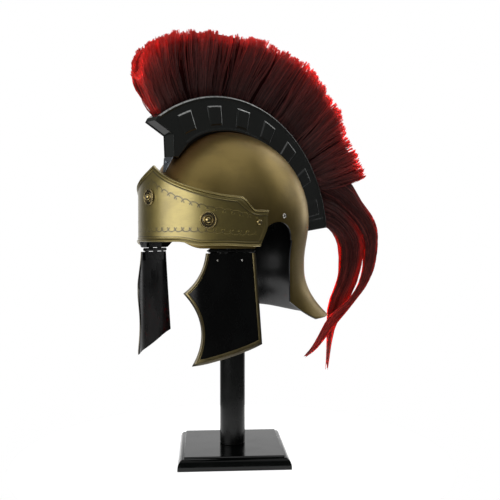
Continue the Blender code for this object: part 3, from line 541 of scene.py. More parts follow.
def band_brass():
    """The band's brass: painted shade in the grooves by its beads, and two rows of engraved scallops with a
    painted highlight along the lip outside each cut.
    """
    surface = brass("band_brass", (0.42, 0.332, 0.090), (0.35, 0.270, 0.068), 0.45, clear=1.0)
    groove = surface.most([line_at(surface, surface.attribute(edge), centre, half_width)
                           for edge, centre, half_width in BEAD_GROOVES])
    run = surface.math("PINGPONG", surface.attribute("band_run"), SCALLOP_PITCH / 2)
    cuts, lips = [], []
    for row in ("upper_row", "lower_row"):
        height = surface.attribute(row)
        inside = surface.remap(height, 0.8, 1.6)
        for centre in (0.0, SCALLOP_PITCH):
            across = surface.math("SUBTRACT", run, centre)
            squares = surface.math("ADD", surface.times(across, across), surface.times(height, height))
            reach = surface.math("SQRT", squares)
            cut = line_at(surface, reach, SCALLOP_RADIUS, SCALLOP_LINE)
            lip = line_at(surface, reach, SCALLOP_RADIUS + SCALLOP_LINE, SCALLOP_LINE)
            cuts.append(surface.times(cut, inside))
            lips.append(surface.times(lip, inside))
    depth = surface.attribute("scallop_depth")
    cut, lip = [surface.times(depth, surface.most(marks)) for marks in (cuts, lips)]
    # a painted highlight in light brass along the lip outside each cut
    colour = surface.mix(surface.times(lip, 0.22), surface.patina, SCALLOP_PAINTED_HIGHLIGHT)
    colour = surface.mix(surface.times(cut, 0.62), colour, SCALLOP_CUT)
    # painted shade in the grooves beside the beads
    surface.colour(surface.mix(surface.times(groove, 0.62), colour, GROOVE_PAINTED_SHADE))
    surface.bump(surface.math("ADD", surface.math("SUBTRACT", 1.0, cut), surface.times(lip, 0.3)),
                 0.8, 1.0)
    return surface.material


def shaded_brass(name, light, dark, roughness, recess_shade):
    """Brass with painted shade where the mesh marks its sunk parts."""
    surface = brass(name, light, dark, roughness, dents=0.05)
    surface.colour(surface.mix(surface.attribute("recess_shade"), surface.patina, recess_shade))
    return surface.material


def gloss_paint(name, colour, roughness, shine=0.4, specks=0.5):
    """Gloss black paint: orange peel, a few dust specks and faint rub marks."""
    surface = Surface(name, colour, roughness, Specular_IOR_Level=shine)
    dust = surface.remap(surface.noise(1500.0, detail=1.0), 0.70, 0.78, 0.0, specks)
    surface.colour(surface.mix(dust, colour, DUST))
    rub = surface.noise(35.0, detail=5.0, stretch=(1.0, 1.0, 0.5))
    surface.roughness(surface.remap(rub, 0.3, 0.75, roughness - 0.05, roughness + 0.1))
    surface.bump(surface.noise(260.0, detail=2.0), 0.05, 0.35)
    surface.bump(surface.noise(30.0, detail=1.0), 0.4, 0.25)
    return surface.material


def bare_metal(name, colour, dark, roughness):
    """Rivet and hinge metal, dulled in patches."""
    surface = Surface(name, colour, roughness, metallic=1.0)
    patch = surface.remap(surface.noise(350.0, detail=3.0), 0.4, 0.7)
    surface.colour(surface.mix(patch, colour, dark))
    surface.roughness(surface.remap(patch, 0.0, 1.0, roughness, roughness + 0.15))
    surface.bump(surface.noise(800.0, detail=2.0), 0.03, 0.4)
    return surface.material


def dyed_hair(name, root, tip, glow, shine=0.8):
    """Red hair: near black at the roots with painted shade, bright at the tips with a painted glow, each
    strand dyed a little apart.
    """
    surface = Surface(name, tip, 0.42, Specular_IOR_Level=shine)
    # mix from the root colour to the tip colour: painted shade near the roots, a painted glow at the tips
    shade_and_glow = surface.attribute("shade_and_glow")
    # the dye value also carries painted light at the front and rear of the brush
    dye = surface.attribute("dye")
    colour = surface.mix(surface.remap(shade_and_glow, 0.0, 1.0), root, tip)
    streak = surface.noise(420.0, detail=2.0)
    shade = surface.math("ADD", surface.times(dye, 1.1),
                         surface.remap(streak, 0.3, 0.7, 0.2, 0.5))
    grey = surface.add("ShaderNodeCombineColor")
    for socket in grey.inputs:
        surface.link(shade, socket)
    colour = surface.mix(1.0, colour, grey.outputs[0], blend="MULTIPLY")
    surface.colour(colour)
    surface.roughness(surface.remap(streak, 0.3, 0.7, 0.34, 0.5))
    surface.bump(streak, 0.05, 0.4)
    if glow:
        through = surface.add("ShaderNodeBsdfTranslucent")
        surface.link(colour, through.inputs["Color"])
        both = surface.add("ShaderNodeMixShader")
        for value, socket in zip((glow, surface.shader.outputs[0], through.outputs[0]), both.inputs):
            surface.link(value, socket)
        surface.link(both.outputs[0], surface.tree.nodes["Material Output"].inputs["Surface"])
    return surface.material


def make_materials():
    """Every look, by the name that the pieces ask for it with."""
    return {
        "skull": skull_brass(),
        "band": band_brass(),
        # brass with painted shade: name, light colour, dark colour, roughness, colour of the painted shade
        # in the sunk parts
        "rosette": shaded_brass("rosette_brass", (0.50, 0.39, 0.15), (0.36, 0.27, 0.09), 0.24,
                              (0.20, 0.145, 0.05)),
        "gilt": shaded_brass("gilt_trim", (0.50, 0.39, 0.15), (0.30, 0.23, 0.08), 0.32,
                           (0.07, 0.055, 0.026)),
        # gloss paint: name, colour, roughness, shine, how strongly its dust specks show
        "crest": gloss_paint("crest_black", (0.026, 0.029, 0.0265), 0.12, 1.0, specks=0.2),
        "enamel": gloss_paint("black_enamel", (0.0016, 0.0018, 0.0018), 0.26, 0.35, specks=0.3),
        "inside": gloss_paint("black_inside", (0.0020, 0.0022, 0.0024), 0.30, 0.45, specks=0.2),
        "lacquer": gloss_paint("black_lacquer", (0.0016, 0.0022, 0.0020), 0.12, 0.30, specks=0.1),
        "pole": gloss_paint("pole_lacquer", (0.0052, 0.0056, 0.0052), 0.24, 0.27, specks=0.1),
        # bare metal: name, colour, colour where it is dulled, roughness
        # painted highlight: light grey metal on the crest's sloping edges that face up and back
        "edge_highlight": bare_metal("painted_edge_highlight", (0.50, 0.51, 0.50), (0.24, 0.25, 0.24), 0.30),
        "steel": bare_metal("blackened_steel", (0.030, 0.031, 0.030), (0.012, 0.012, 0.012), 0.38),
        "silver": bare_metal("silver_rivet", (0.80, 0.79, 0.75), (0.45, 0.43, 0.38), 0.22),
        "tab": bare_metal("grey_tab", (0.36, 0.39, 0.43), (0.17, 0.19, 0.21), 0.38),
        # hair: name, colour at the root, dark with painted shade, colour at the tip, bright with a painted
        # glow, share of light that passes through
        "hair": dyed_hair("red_hair", (0.115, 0.042, 0.038), (0.90, 0.050, 0.038), 0.45),
        # the core's colours, far darker than the strands', are painted shade
        "hair_core": dyed_hair("red_hair_core", (0.016, 0.003, 0.003), (0.30, 0.010, 0.008), 0.0,
                               shine=0.05),
    }


# ---- Mesh helpers ----

def add_piece(name, bm, looks, nodes=(), body="helmet", smooth_deg=35.0):
    """Make a piece of a bmesh, let it ride on a CAD body and stand for its CAD nodes."""
    bmesh.ops.recalc_face_normals(bm, faces=bm.faces)
    mesh = bpy.data.meshes.new(name)
    bm.to_mesh(mesh)
    bm.free()
    mesh.shade_smooth()
    mesh.set_sharp_from_angle(angle=math.radians(smooth_deg))
    return place_piece(name, mesh, looks, nodes, body)


def place_piece(name, mesh, looks, nodes=(), body="helmet"):
    for look in looks:
        mesh.materials.append(SURFACES[look])
    piece = bpy.data.objects.new(name, mesh)
    bpy.context.collection.objects.link(piece)
    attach(piece, body)
    if nodes:
        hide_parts(*nodes)
    return piece


def repaint(node, look):
    """Give one of the materials to a CAD node that is shown as it is."""
    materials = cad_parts[node].data.materials
    materials.clear()
    materials.append(SURFACES[look])


def mark(mesh, name, values):
    """Give the mesh one number per vertex, for its material to read."""
    attribute = mesh.attributes.new(name, "FLOAT", "POINT")
    attribute.data.foreach_set("value", np.array(values, np.float32))


def bridge(bm, ring, following, closed):
    last = len(ring) if closed else len(ring) - 1
    for i in range(last):
        j = (i + 1) % len(ring)
        bm.faces.new((ring[i], ring[j], following[j], following[i]))


def loft(rings, bm=None):
    """A closed body through closed rings of points, with flat ends."""
    bm = bm or bmesh.new()
    rows = [[bm.verts.new(point) for point in ring] for ring in rings]
    for ring, following in zip(rows, rows[1:]):
        bridge(bm, ring, following, True)
    bm.faces.new(rows[0])
    bm.faces.new(reversed(rows[-1]))
    return bm


def turned(profile, segments, place=None, bm=None, ripple=None):
    """A body turned about Z from (radius, height) pairs; ripple(radius, turn) adds to its height."""
    rings = []
    for radius, height in profile:
        ring = []
        for k in range(segments):
            a = 2 * math.pi * k / segments
            rise = height + (ripple(radius, a) if ripple else 0.0)
            ring.append(mm(radius * math.cos(a), radius * math.sin(a), rise))
        rings.append([place @ point for point in ring] if place else ring)
    return loft(rings, bm)


def standing_on(location, normal):
    """The transform that stands a turned body on a point, with its Z axis along the normal."""
    turn = normal.to_track_quat("Z", "Y").to_matrix().to_4x4()
    turn.translation = location
    return turn


def upright(y, z, x):
    """The frame of an outline that stands in the helmet's middle plane."""
    return mm(x, y, z)


def prism(outline, depths, place=upright, bm=None):
    """A flat outline of (u, v) pairs, lofted between depths; place(u, v, depth) is its frame."""
    return loft([[place(u, v, depth) for u, v in outline] for depth in depths], bm)


def soften(piece, width_mm, segments=3, angle_deg=40.0):
    """Round the piece's sharp edges."""
    bevel = piece.modifiers.new("soften", "BEVEL")
    bevel.width = width_mm * 0.001
    bevel.segments = segments
    bevel.limit_method = "ANGLE"
    bevel.angle_limit = math.radians(angle_deg)


# ---- Stand ----

def make_stand():
    half, top = BASE_SIDE / 2, BASE_TOP_SIDE / 2
    step = BASE_THICKNESS - BASE_STEP_HEIGHT
    ledge = top + BASE_LEDGE
    profile = [(half, 0.0)]
    for angle in spread(0.0, math.pi / 2, OVOLO_STEPS):
        out = ledge + (half - ledge) * math.cos(angle)
        profile.append((out, BASE_EDGE_HEIGHT + (step - BASE_EDGE_HEIGHT) * math.sin(angle)))
    profile += [(top, step), (top, BASE_THICKNESS), (top - BASE_BORDER, BASE_THICKNESS)]
    yaw = math.radians(BASE_YAW_DEG)
    corners = [Vector((math.cos(yaw + a), math.sin(yaw + a), 0.0)) * math.sqrt(2)
               for a in (math.pi * (0.25 + 0.5 * k) for k in range(4))]
    rings = [[corner * out * 0.001 + mm(0.0, 0.0, height) for corner in corners]
             for out, height in profile]
    base = add_piece("base", loft(rings), ["lacquer"], ["base_plate"], smooth_deg=25.0)
    soften(base, 0.5, angle_deg=30.0)
    pole_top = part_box("pole")[1].z * 1000
    profile = [(POLE_RADIUS - inset, POLE_FOOT_Z + rise) for inset, rise in POLE_FOOT]
    profile += [(POLE_RADIUS, pole_top - POLE_CHAMFER), (POLE_RADIUS - POLE_CHAMFER, pole_top)]
    add_piece("stand_pole", turned(profile, POLE_SIDES), ["pole"], ["pole"])
    repaint("stand_head", "lacquer")


# ---- Skull ----

def dome_depth(turn):
    """The dome's half length, which is not the same behind as in front."""
    return DOME_REAR if math.cos(turn) > 0 else DOME_FRONT


def dome_plan(turn):
    """The dome's plan at its equator; the turn is measured from the back, towards +X."""
    return DOME_HALF_WIDTH * math.sin(turn), dome_depth(turn) * math.cos(turn)


def dome_normal(turn):
    return Vector((math.sin(turn) / DOME_HALF_WIDTH, math.cos(turn) / dome_depth(turn))).normalized()


def seat_plan(turn):
    """The plan of the lower brow wall, just inside the brow band."""
    inset = BAND_WALL + BAND_GAP
    return ((BAND_HALF_WIDTH - inset) * math.sin(turn),
            BAND_Y - DOME_Y + (BAND_FRONT - inset) * math.cos(turn))


def skull_point(turn, z):
    """A point on the skull's outer face."""
    scale = math.sqrt(max(0.0, 1.0 - max(0.0, (z - DOME_EQUATOR_Z) / DOME_HEIGHT) ** 2))
    x, y = dome_plan(turn)
    x, y = x * scale, y * scale
    out = dome_normal(turn)
    side = math.degrees(abs(turn))
    waist = WAIST_DEPTH * smoothstep(DOME_EQUATOR_Z, DOME_EQUATOR_Z - WAIST_HEIGHT, z)
    fall = max(0.0, (NECK_FLARE_TOP_Z - z) / NECK_FLARE_DROP)
    flare = NECK_FLARE * fall**2 * smoothstep(*NECK_FLARE_DEGS, side)
    grow = flare - waist * smoothstep(*WAIST_FADE_DEGS, side)
    x, y = x + out.x * grow, y + out.y * grow
    seat = (smoothstep(*BROW_SEAT_START_DEGS, side) * smoothstep(*BROW_SEAT_END_DEGS, side)
            * smoothstep(FACE_RIM_Z, EAR_SPRING_Z, z))
    seat_x, seat_y = seat_plan(turn)
    x, y = x + (seat_x - x) * seat, y + (seat_y - y) * seat
    return mm(x, y + DOME_Y, z)


def skull_rim_z(turn):
    """The lower edge of the dome: neck joint, ear arch, hinge rim and face opening."""
    side = math.degrees(abs(turn))
    if side <= EAR_REAR_DEG:
        return NECK_JOIN_Z
    y = dome_plan(turn)[1] + DOME_Y
    across = (y - EAR_Y) / EAR_HALF_WIDTH
    if side <= EAR_FRONT_DEG:
        return EAR_SPRING_Z + EAR_RISE * math.sqrt(max(0.0, 1.0 - across**2)) + 1.0
    brow = SKULL_RIM_Z + (FACE_RIM_Z - SKULL_RIM_Z) * smoothstep(*FACE_RIM_DEGS, side)
    return brow + (NECK_JOIN_Z - SKULL_RIM_Z) * smoothstep(HINGE_RIM_DEG, EAR_FRONT_DEG, side)


def skull_turns():
    """Column angles for one side, from the back to the front, close together at the ear."""
    middle, half = (EAR_REAR_DEG + EAR_FRONT_DEG) / 2, (EAR_FRONT_DEG - EAR_REAR_DEG) / 2
    ear = [middle - half * math.cos(math.pi * k / EAR_COLUMNS) for k in range(EAR_COLUMNS + 1)]
    degrees = spread(0.0, EAR_REAR_DEG, BACK_COLUMNS)[:-1] + ear
    degrees += spread(EAR_FRONT_DEG, HINGE_RIM_DEG, HINGE_COLUMNS)[1:]
    degrees += spread(HINGE_RIM_DEG, 180.0, FRONT_COLUMNS)[1:]
    return [math.radians(value) for value in degrees]


def neck_rim_z(turn):
    """The neck guard's lower edge: lowest behind, a little lower on the left, raised at its corners."""
    side = math.degrees(abs(turn))
    corner = max(0.0, side - NECK_CORNER_DEG) / (EAR_REAR_DEG - NECK_CORNER_DEG)
    dip = NECK_RIM_SAG * smoothstep(*NECK_RIM_SAG_DEGS, side)
    return NECK_RIM_Z - NECK_RIM_TILT * math.sin(turn) - dip + NECK_CORNER_RISE * corner


def make_skull():
    bm = bmesh.new()
    side = skull_turns()
    turns = [-turn for turn in reversed(side[1:-1])] + side
    crown = bm.verts.new(mm(0.0, DOME_Y, DOME_TOP_Z))
    rows = []
    for part in spread(0.0, 1.0, DOME_ROWS)[1:] + spread(1.0, 2.0, RIM_ROWS)[1:]:
        row = []
        for turn in turns:
            shoulder = skull_rim_z(turn) + RIM_BAND
            sweep = math.acos(max(0.0, shoulder - DOME_EQUATOR_Z) / DOME_HEIGHT)
            drop = max(0.0, DOME_EQUATOR_Z - shoulder) / DOME_HEIGHT
            angle = min(part, 1.0) * (sweep + drop)
            z = DOME_EQUATOR_Z + DOME_HEIGHT * math.cos(min(angle, math.pi / 2))
            z -= max(0.0, angle - math.pi / 2) * DOME_HEIGHT + max(0.0, part - 1.0) * RIM_BAND
            row.append(bm.verts.new(skull_point(turn, z)))
        rows.append(row)
    for i in range(len(turns)):
        bm.faces.new((crown, rows[0][i], rows[0][(i + 1) % len(turns)]))
    for row, following in zip(rows, rows[1:]):
        bridge(bm, row, following, True)
    joint = [i for i, turn in enumerate(turns) if abs(math.degrees(turn)) <= EAR_REAR_DEG + 0.01]
    above = [rows[-1][i] for i in joint]
    for part in spread(0.0, 1.0, NECK_ROWS)[1:]:
        below = []
        for i in joint:
            rim = neck_rim_z(turns[i])
            below.append(bm.verts.new(skull_point(turns[i], NECK_JOIN_Z + (rim - NECK_JOIN_Z) * part)))
        bridge(bm, above, below, False)
        above = below
    skull = add_piece("skull_shell", bm, ["skull", "inside"], ["skull"])
    wall = skull.modifiers.new("wall", "SOLIDIFY")
    wall.thickness = SKULL_WALL * 0.001
    wall.offset = -1.0
    wall.use_even_offset = True
    wall.use_rim = True
    wall.material_offset = 1
    wall.material_offset_rim = 1
    soften(skull, 0.45, segments=2, angle_deg=50.0)


# ---- Brow band ----

def band_normal(turn):
    return Vector((math.sin(turn) / BAND_HALF_WIDTH, -math.cos(turn) / BAND_FRONT, 0.0)).normalized()


def band_point(turn, z, proud=0.0):
    """A point on the band's outer face; the turn is measured from the front, towards +X."""
    lean = BAND_LEAN * max(0.0, z - BAND_LEAN_Z) * smoothstep(BAND_LEAN_DEG, 0.0, abs(math.degrees(turn)))
    out = band_normal(turn)
    grow = proud - lean
    return mm(BAND_HALF_WIDTH * math.sin(turn) + out.x * grow,
              BAND_Y - BAND_FRONT * math.cos(turn) + out.y * grow, z)


def band_crown_z(side):
    """The band's upper edge before it steps down near its end."""
    return BAND_SIDE_Z + BAND_PEAK_RISE * max(0.0, 1.0 - side / BAND_PEAK_SPAN_DEG) ** BAND_PEAK_POWER


def band_top_z(side):
    return band_crown_z(side) - BAND_END_STEP * smoothstep(*BAND_END_STEP_DEGS, side)


def band_bottom_z(side):
    rise = BAND_BROW_RISE * smoothstep(*BAND_BROW_DEGS, side)
    return BAND_BOTTOM_Z + rise - BAND_END_DROP * smoothstep(*BAND_END_DROP_DEGS, side)


def band_end_deg(z):
    """The band's slanting rear edge, as an angle from the front."""
    top, bottom = BAND_END_SLANT_Z
    drop = max(0.0, (top - z) / (top - bottom))
    return BAND_END_DEG - BAND_END_SLANT_DEG * drop**1.3


def rolled(distance, start, width, height):
    """Height of a half-round bead that starts this far in from the edge."""
    part = (distance - start) / width
    return height * math.sin(math.pi * part) if 0.0 < part < 1.0 else 0.0


def band_groove_z(side):
    """The groove under the upper beads, which rounds off the step in the edge above it."""
    part = min(1.0, max(0.0, (side - BEAD_STEP_DEGS[0]) / (BEAD_STEP_DEGS[1] - BEAD_STEP_DEGS[0])))
    smooth = band_crown_z(side) - BEAD_DEPTH - BAND_END_STEP * (1.0 - (1.0 - part) ** 2)
    return min(smooth, band_top_z(side) - GROOVE_DROP)


def band_relief(z, side, from_end):
    """Beads along the band: a double one on top, one below and a faint one at the end."""
    top, groove, bottom = band_top_z(side), band_groove_z(side), band_bottom_z(side)
    second = rolled(z - groove, 0.0, top - SECOND_BEAD_DROP - groove, SECOND_BEAD_HEIGHT)
    return max(rolled(top - z, *BEADS["top"]), second, rolled(z - bottom, *BEADS["bottom"]),
               rolled(z - bottom, *BEADS["above_bottom"]), rolled(from_end, *BEADS["end"]))


def make_band():
    bm = bmesh.new()
    values = {name: [] for name in ("band_run", "upper_row", "lower_row", "scallop_depth",
                                    "below_top", "above_groove", "above_bottom")}
    arc = BAND_HALF_WIDTH * math.pi / 180
    near_end = BAND_REAR_BEAD / (arc * BAND_END_DEG)
    half = spread(1.0, 1.0 - near_end, BAND_END_COLUMNS)[:-1] + spread(1.0 - near_end, 0.0, BAND_COLUMNS)
    outer_rows, inner_rows = [], []
    for part in half + [-part for part in reversed(half[:-1])]:
        side = abs(part) * BAND_END_DEG
        bottom, top, groove = band_bottom_z(side), band_top_z(side), band_groove_z(side)
        beads_top, groove_foot = bottom + LOWER_BEADS_TOP, groove - GROOVE_FOOT
        low, middle, high = BAND_ROWS
        heights = spread(bottom, beads_top, low)[:-1] + spread(beads_top, groove_foot, middle)[:-1]
        heights += spread(groove_foot, top, high)
        turns = [math.radians(part * band_end_deg(z)) for z in heights]
        upper_dip = UPPER_ROW_DIP * smoothstep(*UPPER_ROW_DIP_DEGS, side)
        lower_dip = LOWER_ROW_DIP * smoothstep(*LOWER_ROW_DIP_DEGS, side)
        outer = []
        for turn, z in zip(turns, heights):
            relief = band_relief(z, side, (1.0 - abs(part)) * BAND_END_DEG * arc)
            outer.append(bm.verts.new(band_point(turn, z, relief)))
            values["band_run"].append(part * BAND_END_DEG * arc)
            values["upper_row"].append(z - band_crown_z(side) + UPPER_ROW_DROP + upper_dip)
            values["lower_row"].append(LOWER_ROW_Z - lower_dip - z)
            values["scallop_depth"].append(smoothstep(*ROWS_END_DEGS, side))
            values["below_top"].append(top - z)
            values["above_groove"].append(z - groove)
            values["above_bottom"].append(z - bottom)
        outer_rows.append(outer)
        inner_rows.append([bm.verts.new(band_point(turn, z, -BAND_WALL)) for turn, z in zip(turns, heights)])
        for numbers in values.values():
            numbers += [INSIDE_MARK] * len(heights)
    for rows in (outer_rows, inner_rows):
        for row, following in zip(rows, rows[1:]):
            bridge(bm, row, following, False)
    for end in (0, -1):
        bridge(bm, outer_rows[end], inner_rows[end], False)
        bridge(bm, [row[end] for row in outer_rows], [row[end] for row in inner_rows], False)
    band = add_piece("brow_band_shell", bm, ["band"], ["brow_band"], smooth_deg=50.0)
    for name, numbers in values.items():
        mark(band.data, name, numbers)


# ---- Rosettes and rivets ----

ROSETTE_PROFILE = (
    # (radius, height) in mm, from the rim to the boss
    (10.6, 0.0), (10.6, 1.2), (10.4, 1.8), (10.0, 2.2), (9.5, 2.25), (9.0, 1.9), (8.7, 1.2), (8.5, 0.7),
    (7.2, 0.6), (6.6, 0.8), (6.3, 1.7), (6.0, 2.2), (5.5, 2.35), (5.0, 2.1), (4.7, 1.4), (4.4, 1.3),
    (4.3, 1.9), (4.1, 2.8), (3.65, 3.6), (3.0, 4.25), (2.2, 4.7), (1.3, 4.95), (0.4, 5.05),
)


def flutes(radius, turn):
    """The rosette's outer ring is pressed into beads."""
    return -0.3 * (0.5 - 0.5 * math.cos(ROSETTE_FLUTES * turn)) if 9.2 < radius < 10.55 else 0.0


def make_rosettes():
    places = {"front": (0.0, ROSETTE_FRONT_Z), "left": (ROSETTE_SIDE_DEG, ROSETTE_SIDE_Z),
              "right": (-ROSETTE_SIDE_DEG, ROSETTE_SIDE_Z)}
    for side, (degrees, z) in places.items():
        turn = math.radians(degrees)
        stand = standing_on(band_point(turn, z, FIT_GAP), band_normal(turn))
        bm = turned(ROSETTE_PROFILE, 4 * ROSETTE_FLUTES, stand, ripple=flutes)
        disc = add_piece("rosette_disc_" + side, bm, ["rosette"], ["rosette_" + side],
                         smooth_deg=60.0)
        # painted shade in the rosette's sunk ring
        ring = [1.0 if height < 1.5 and radius < 10.0 else 0.0 for radius, height in ROSETTE_PROFILE]
        mark(disc.data, "recess_shade", np.repeat(ring, 4 * ROSETTE_FLUTES))


def domed(radius, height):
    return [(radius * math.cos(a), height * math.sin(a)) for a in spread(0.0, math.pi / 2, 10)[:-1]] \
        + [(0.08 * radius, height)]


def eyelet(radius, height):
    """A rolled eyelet: a ring round a sunk centre."""
    return [(radius, 0.0), (radius, 0.4 * height), (0.93 * radius, 0.75 * height),
            (0.8 * radius, height), (0.66 * radius, 0.9 * height), (0.55 * radius, 0.6 * height),
            (0.48 * radius, 0.15 * height), (0.2 * radius, 0.1 * height), (0.05 * radius, 0.1 * height)]


def rivet(name, node, profile, look, location, normal, body="helmet"):
    bm = turned(profile, 32, standing_on(location, normal))
    add_piece(name, bm, [look], [node], body, smooth_deg=60.0)


def make_helmet_rivets():
    for side, sign in SIDES.items():
        turn = math.radians(sign * BAND_RIVET_DEG)
        rivet("band_rivet_head_" + side, "band_rivet_" + side, domed(3.9, 3.0), "rosette",
              band_point(turn, BAND_RIVET_Z, FIT_GAP), band_normal(turn))
        turn = math.radians(sign * SKULL_RIVET_DEG)
        out = dome_normal(turn).to_3d()
        rivet("skull_eyelet_" + side, "skull_rivet_" + side, eyelet(3.4, 1.8), "silver",
              skull_point(turn, SKULL_RIVET_Z) + out * 0.001 * FIT_GAP, out)


# ---- Crest box ----

def crest_point(degrees, radius, x=0.0):
    angle = math.radians(degrees)
    return mm(x, CREST_RIM_Y + radius * math.cos(angle), CREST_RIM_Z + radius * math.sin(angle))


def crest_dome_line(count, lift=0.0, degs=CREST_DOME_DEGS, front_gap=CREST_FRONT_GAP):
    """The box's lower edge along the dome, from the back to the front, as (y, z) pairs."""
    line = []
    for degrees in spread(*degs, count):
        angle = math.radians(degrees)
        gap = CREST_DOME_GAP + front_gap * smoothstep(*CREST_FRONT_GAP_DEGS, degrees) + lift
        line.append((DOME_Y + (dome_depth(angle) + gap) * math.cos(angle),
                     DOME_EQUATOR_Z + (DOME_HEIGHT + gap) * math.sin(angle)))
    return line


def crest_outline():
    """The box from the side: rim arc, flared front, and the lower edge that follows the dome."""
    outline = []
    for degrees in spread(CREST_REAR_DEG, CREST_FRONT_DEG, RIM_STEPS):
        point = crest_point(degrees, CREST_RIM_RADIUS) * 1000
        outline.append((point.y, point.z))
    return [*outline, *CREST_FRONT, *reversed(crest_dome_line(CREST_STEPS)[:-1])]


def arc_bar(degrees, inner, outer, half_width, chamfer, steps, bm):
    """A bar that follows the rim's arc, for the panels, the raised rim and the rear end."""
    rings = []
    shoulder = half_width - chamfer * CHAMFER_SLOPE
    for x, inset in ((-half_width, chamfer), (-shoulder, 0.0), (shoulder, 0.0), (half_width, chamfer)):
        inset_deg = math.degrees(inset / outer)
        first, last = degrees[0] + inset_deg, degrees[1] - inset_deg
        ring = [crest_point(a, outer - inset, x) for a in spread(first, last, steps)]
        ring += [crest_point(a, inner + inset, x) for a in spread(last, first, steps)]
        rings.append(ring)
    return loft(rings, bm)


def paint_edge_highlights(bm):
    """Give the second look, a painted highlight in light bare metal, to the sloping edges that face up and
    back.
    """
    bm.normal_update()
    for face in bm.faces:
        middle = face.calc_center_median() - mm(0.0, CREST_RIM_Y, CREST_RIM_Z)
        rearward = Vector((0.0, middle.z, -middle.y)).normalized()
        upward = Vector((0.0, middle.y, middle.z)).normalized()
        if 0.2 < abs(face.normal.x) < 0.95 and face.normal.dot(rearward + upward) > 0.0:
            face.material_index = 1


def make_crest_box():
    box = prism(crest_outline(), (-CREST_HALF_WIDTH, CREST_HALF_WIDTH))
    crest = add_piece("crest_box", box, ["crest"], ["crest_holder"], smooth_deg=20.0)
    soften(crest, 0.7, angle_deg=30.0)
    # a near-black filler in the gap under the box, standing in for the shade in that gap
    deep, shallow = GAP_SHADE_LIFTS
    gap_shade = crest_dome_line(GAP_SHADE_STEPS, deep, GAP_SHADE_DEGS, 0.0)
    gap_shade += reversed(crest_dome_line(GAP_SHADE_STEPS, shallow, GAP_SHADE_DEGS))
    add_piece("crest_gap_shade", prism(gap_shade, (-GAP_SHADE_HALF_WIDTH, GAP_SHADE_HALF_WIDTH)), ["enamel"])
    panels = bmesh.new()
    half = math.degrees(PANEL_LENGTH / (PANEL_INNER_RADIUS + PANEL_OUTER_RADIUS))
    for k in range(PANEL_COUNT):
        middle = PANEL_FIRST_DEG - k * PANEL_PITCH_DEG
        arc_bar((middle - half, middle + half), PANEL_INNER_RADIUS, PANEL_OUTER_RADIUS,
                CREST_HALF_WIDTH + PANEL_PROUD, PANEL_CHAMFER, PANEL_STEPS, panels)
    # painted highlight on the panels' edges that face up and back
    paint_edge_highlights(panels)
    panel_piece = add_piece("crest_panels", panels, ["crest", "edge_highlight"], smooth_deg=20.0)
    soften(panel_piece, 0.2, segments=2, angle_deg=25.0)
    rear, front = LIP_END_DEGS
    trims = arc_bar((CREST_REAR_DEG + rear, CREST_FRONT_DEG - front), CREST_RIM_RADIUS - CREST_LIP_WIDTH,
                    CREST_RIM_RADIUS - LIP_TOP_INSET, CREST_HALF_WIDTH + CREST_LIP_PROUD, LIP_CHAMFER,
                    RIM_STEPS, None)
    paint_edge_highlights(trims)
    lower, upper = [crest_dome_line(CREST_STEPS, lift) for lift in FLANGE_LIFTS]
    flange_half = CREST_HALF_WIDTH + FLANGE_PROUD
    prism([*lower, *reversed(upper)], (-flange_half, flange_half), bm=trims)
    inner_inset, outer_inset = REAR_BAR_INSETS
    arc_bar((CREST_REAR_DEG + rear, CREST_SEAM_DEG), PANEL_INNER_RADIUS + inner_inset,
            CREST_RIM_RADIUS - outer_inset, CREST_HALF_WIDTH + REAR_BAR_PROUD, REAR_BAR_CHAMFER,
            PANEL_STEPS, trims)
    for depths in ((-CREST_HALF_WIDTH, -FLARE_LIP_INNER), (FLARE_LIP_INNER, CREST_HALF_WIDTH)):
        prism([*CREST_FRONT[:3], *reversed(FLARE_LIP)], depths, bm=trims)
    lips = add_piece("crest_lips", trims, ["crest", "edge_highlight"], smooth_deg=25.0)
    soften(lips, 0.2, segments=2, angle_deg=35.0)


def make_crest_tab():
    """The pointed metal tab from the box's front foot down to the dome, with its eyelet."""
    top, tip = mm(*TAB_TOP), mm(*TAB_TIP)
    down = (tip - top).normalized()
    out = Vector((0.0, down.z, -down.y))
    length = (tip - top).length * 1000
    wide, narrow = TAB_HALF_WIDTHS
    outline = [(-wide, 0.0), (wide, 0.0), (narrow, length), (-narrow, length)]

    def place(x, run, depth):
        return top + mm(x, 0.0, 0.0) + (down * run + out * depth) * 0.001
    plate = prism(outline, (0.0, TAB_WALL), place)
    soften(add_piece("crest_tab_plate", plate, ["tab"], ["crest_tab"]), 0.4)
    rivet("crest_tab_eyelet", "crest_tab_rivet", eyelet(2.4, 1.2), "tab",
          place(0.0, TAB_RIVET_DROP, TAB_WALL + FIT_GAP), out)


# ---- Cheek guards ----

def hinge_axes(sign):
    """Forward and outward directions of a cheek guard, for the left (+1) or right (-1) side."""
    toe = math.radians(HINGE_TOE_IN_DEG)
    forward = Vector((-sign * math.sin(toe), -math.cos(toe), 0.0))
    outward = Vector((sign * math.cos(toe), -math.sin(toe), 0.0))
    return forward, outward


def cheek_bend(run):
    """How far the plate turns in towards the face, before and behind its flat middle."""
    (front, front_bend), (rear, rear_bend) = CHEEK_BENDS.values()
    return front_bend * max(0.0, run - front) ** 2 + rear_bend * max(0.0, -run - rear) ** 2


def cheek_place(sign):
    """Frame of a cheek guard: (run forward, height, depth outward) in mm."""
    forward, outward = hinge_axes(sign)
    middle = mm(sign * HINGE_X, HINGE_Y, 0.0)

    def place(run, z, depth):
        return middle + (forward * run + outward * (depth - cheek_bend(run))) * 0.001 + mm(0.0, 0.0, z)
    return place


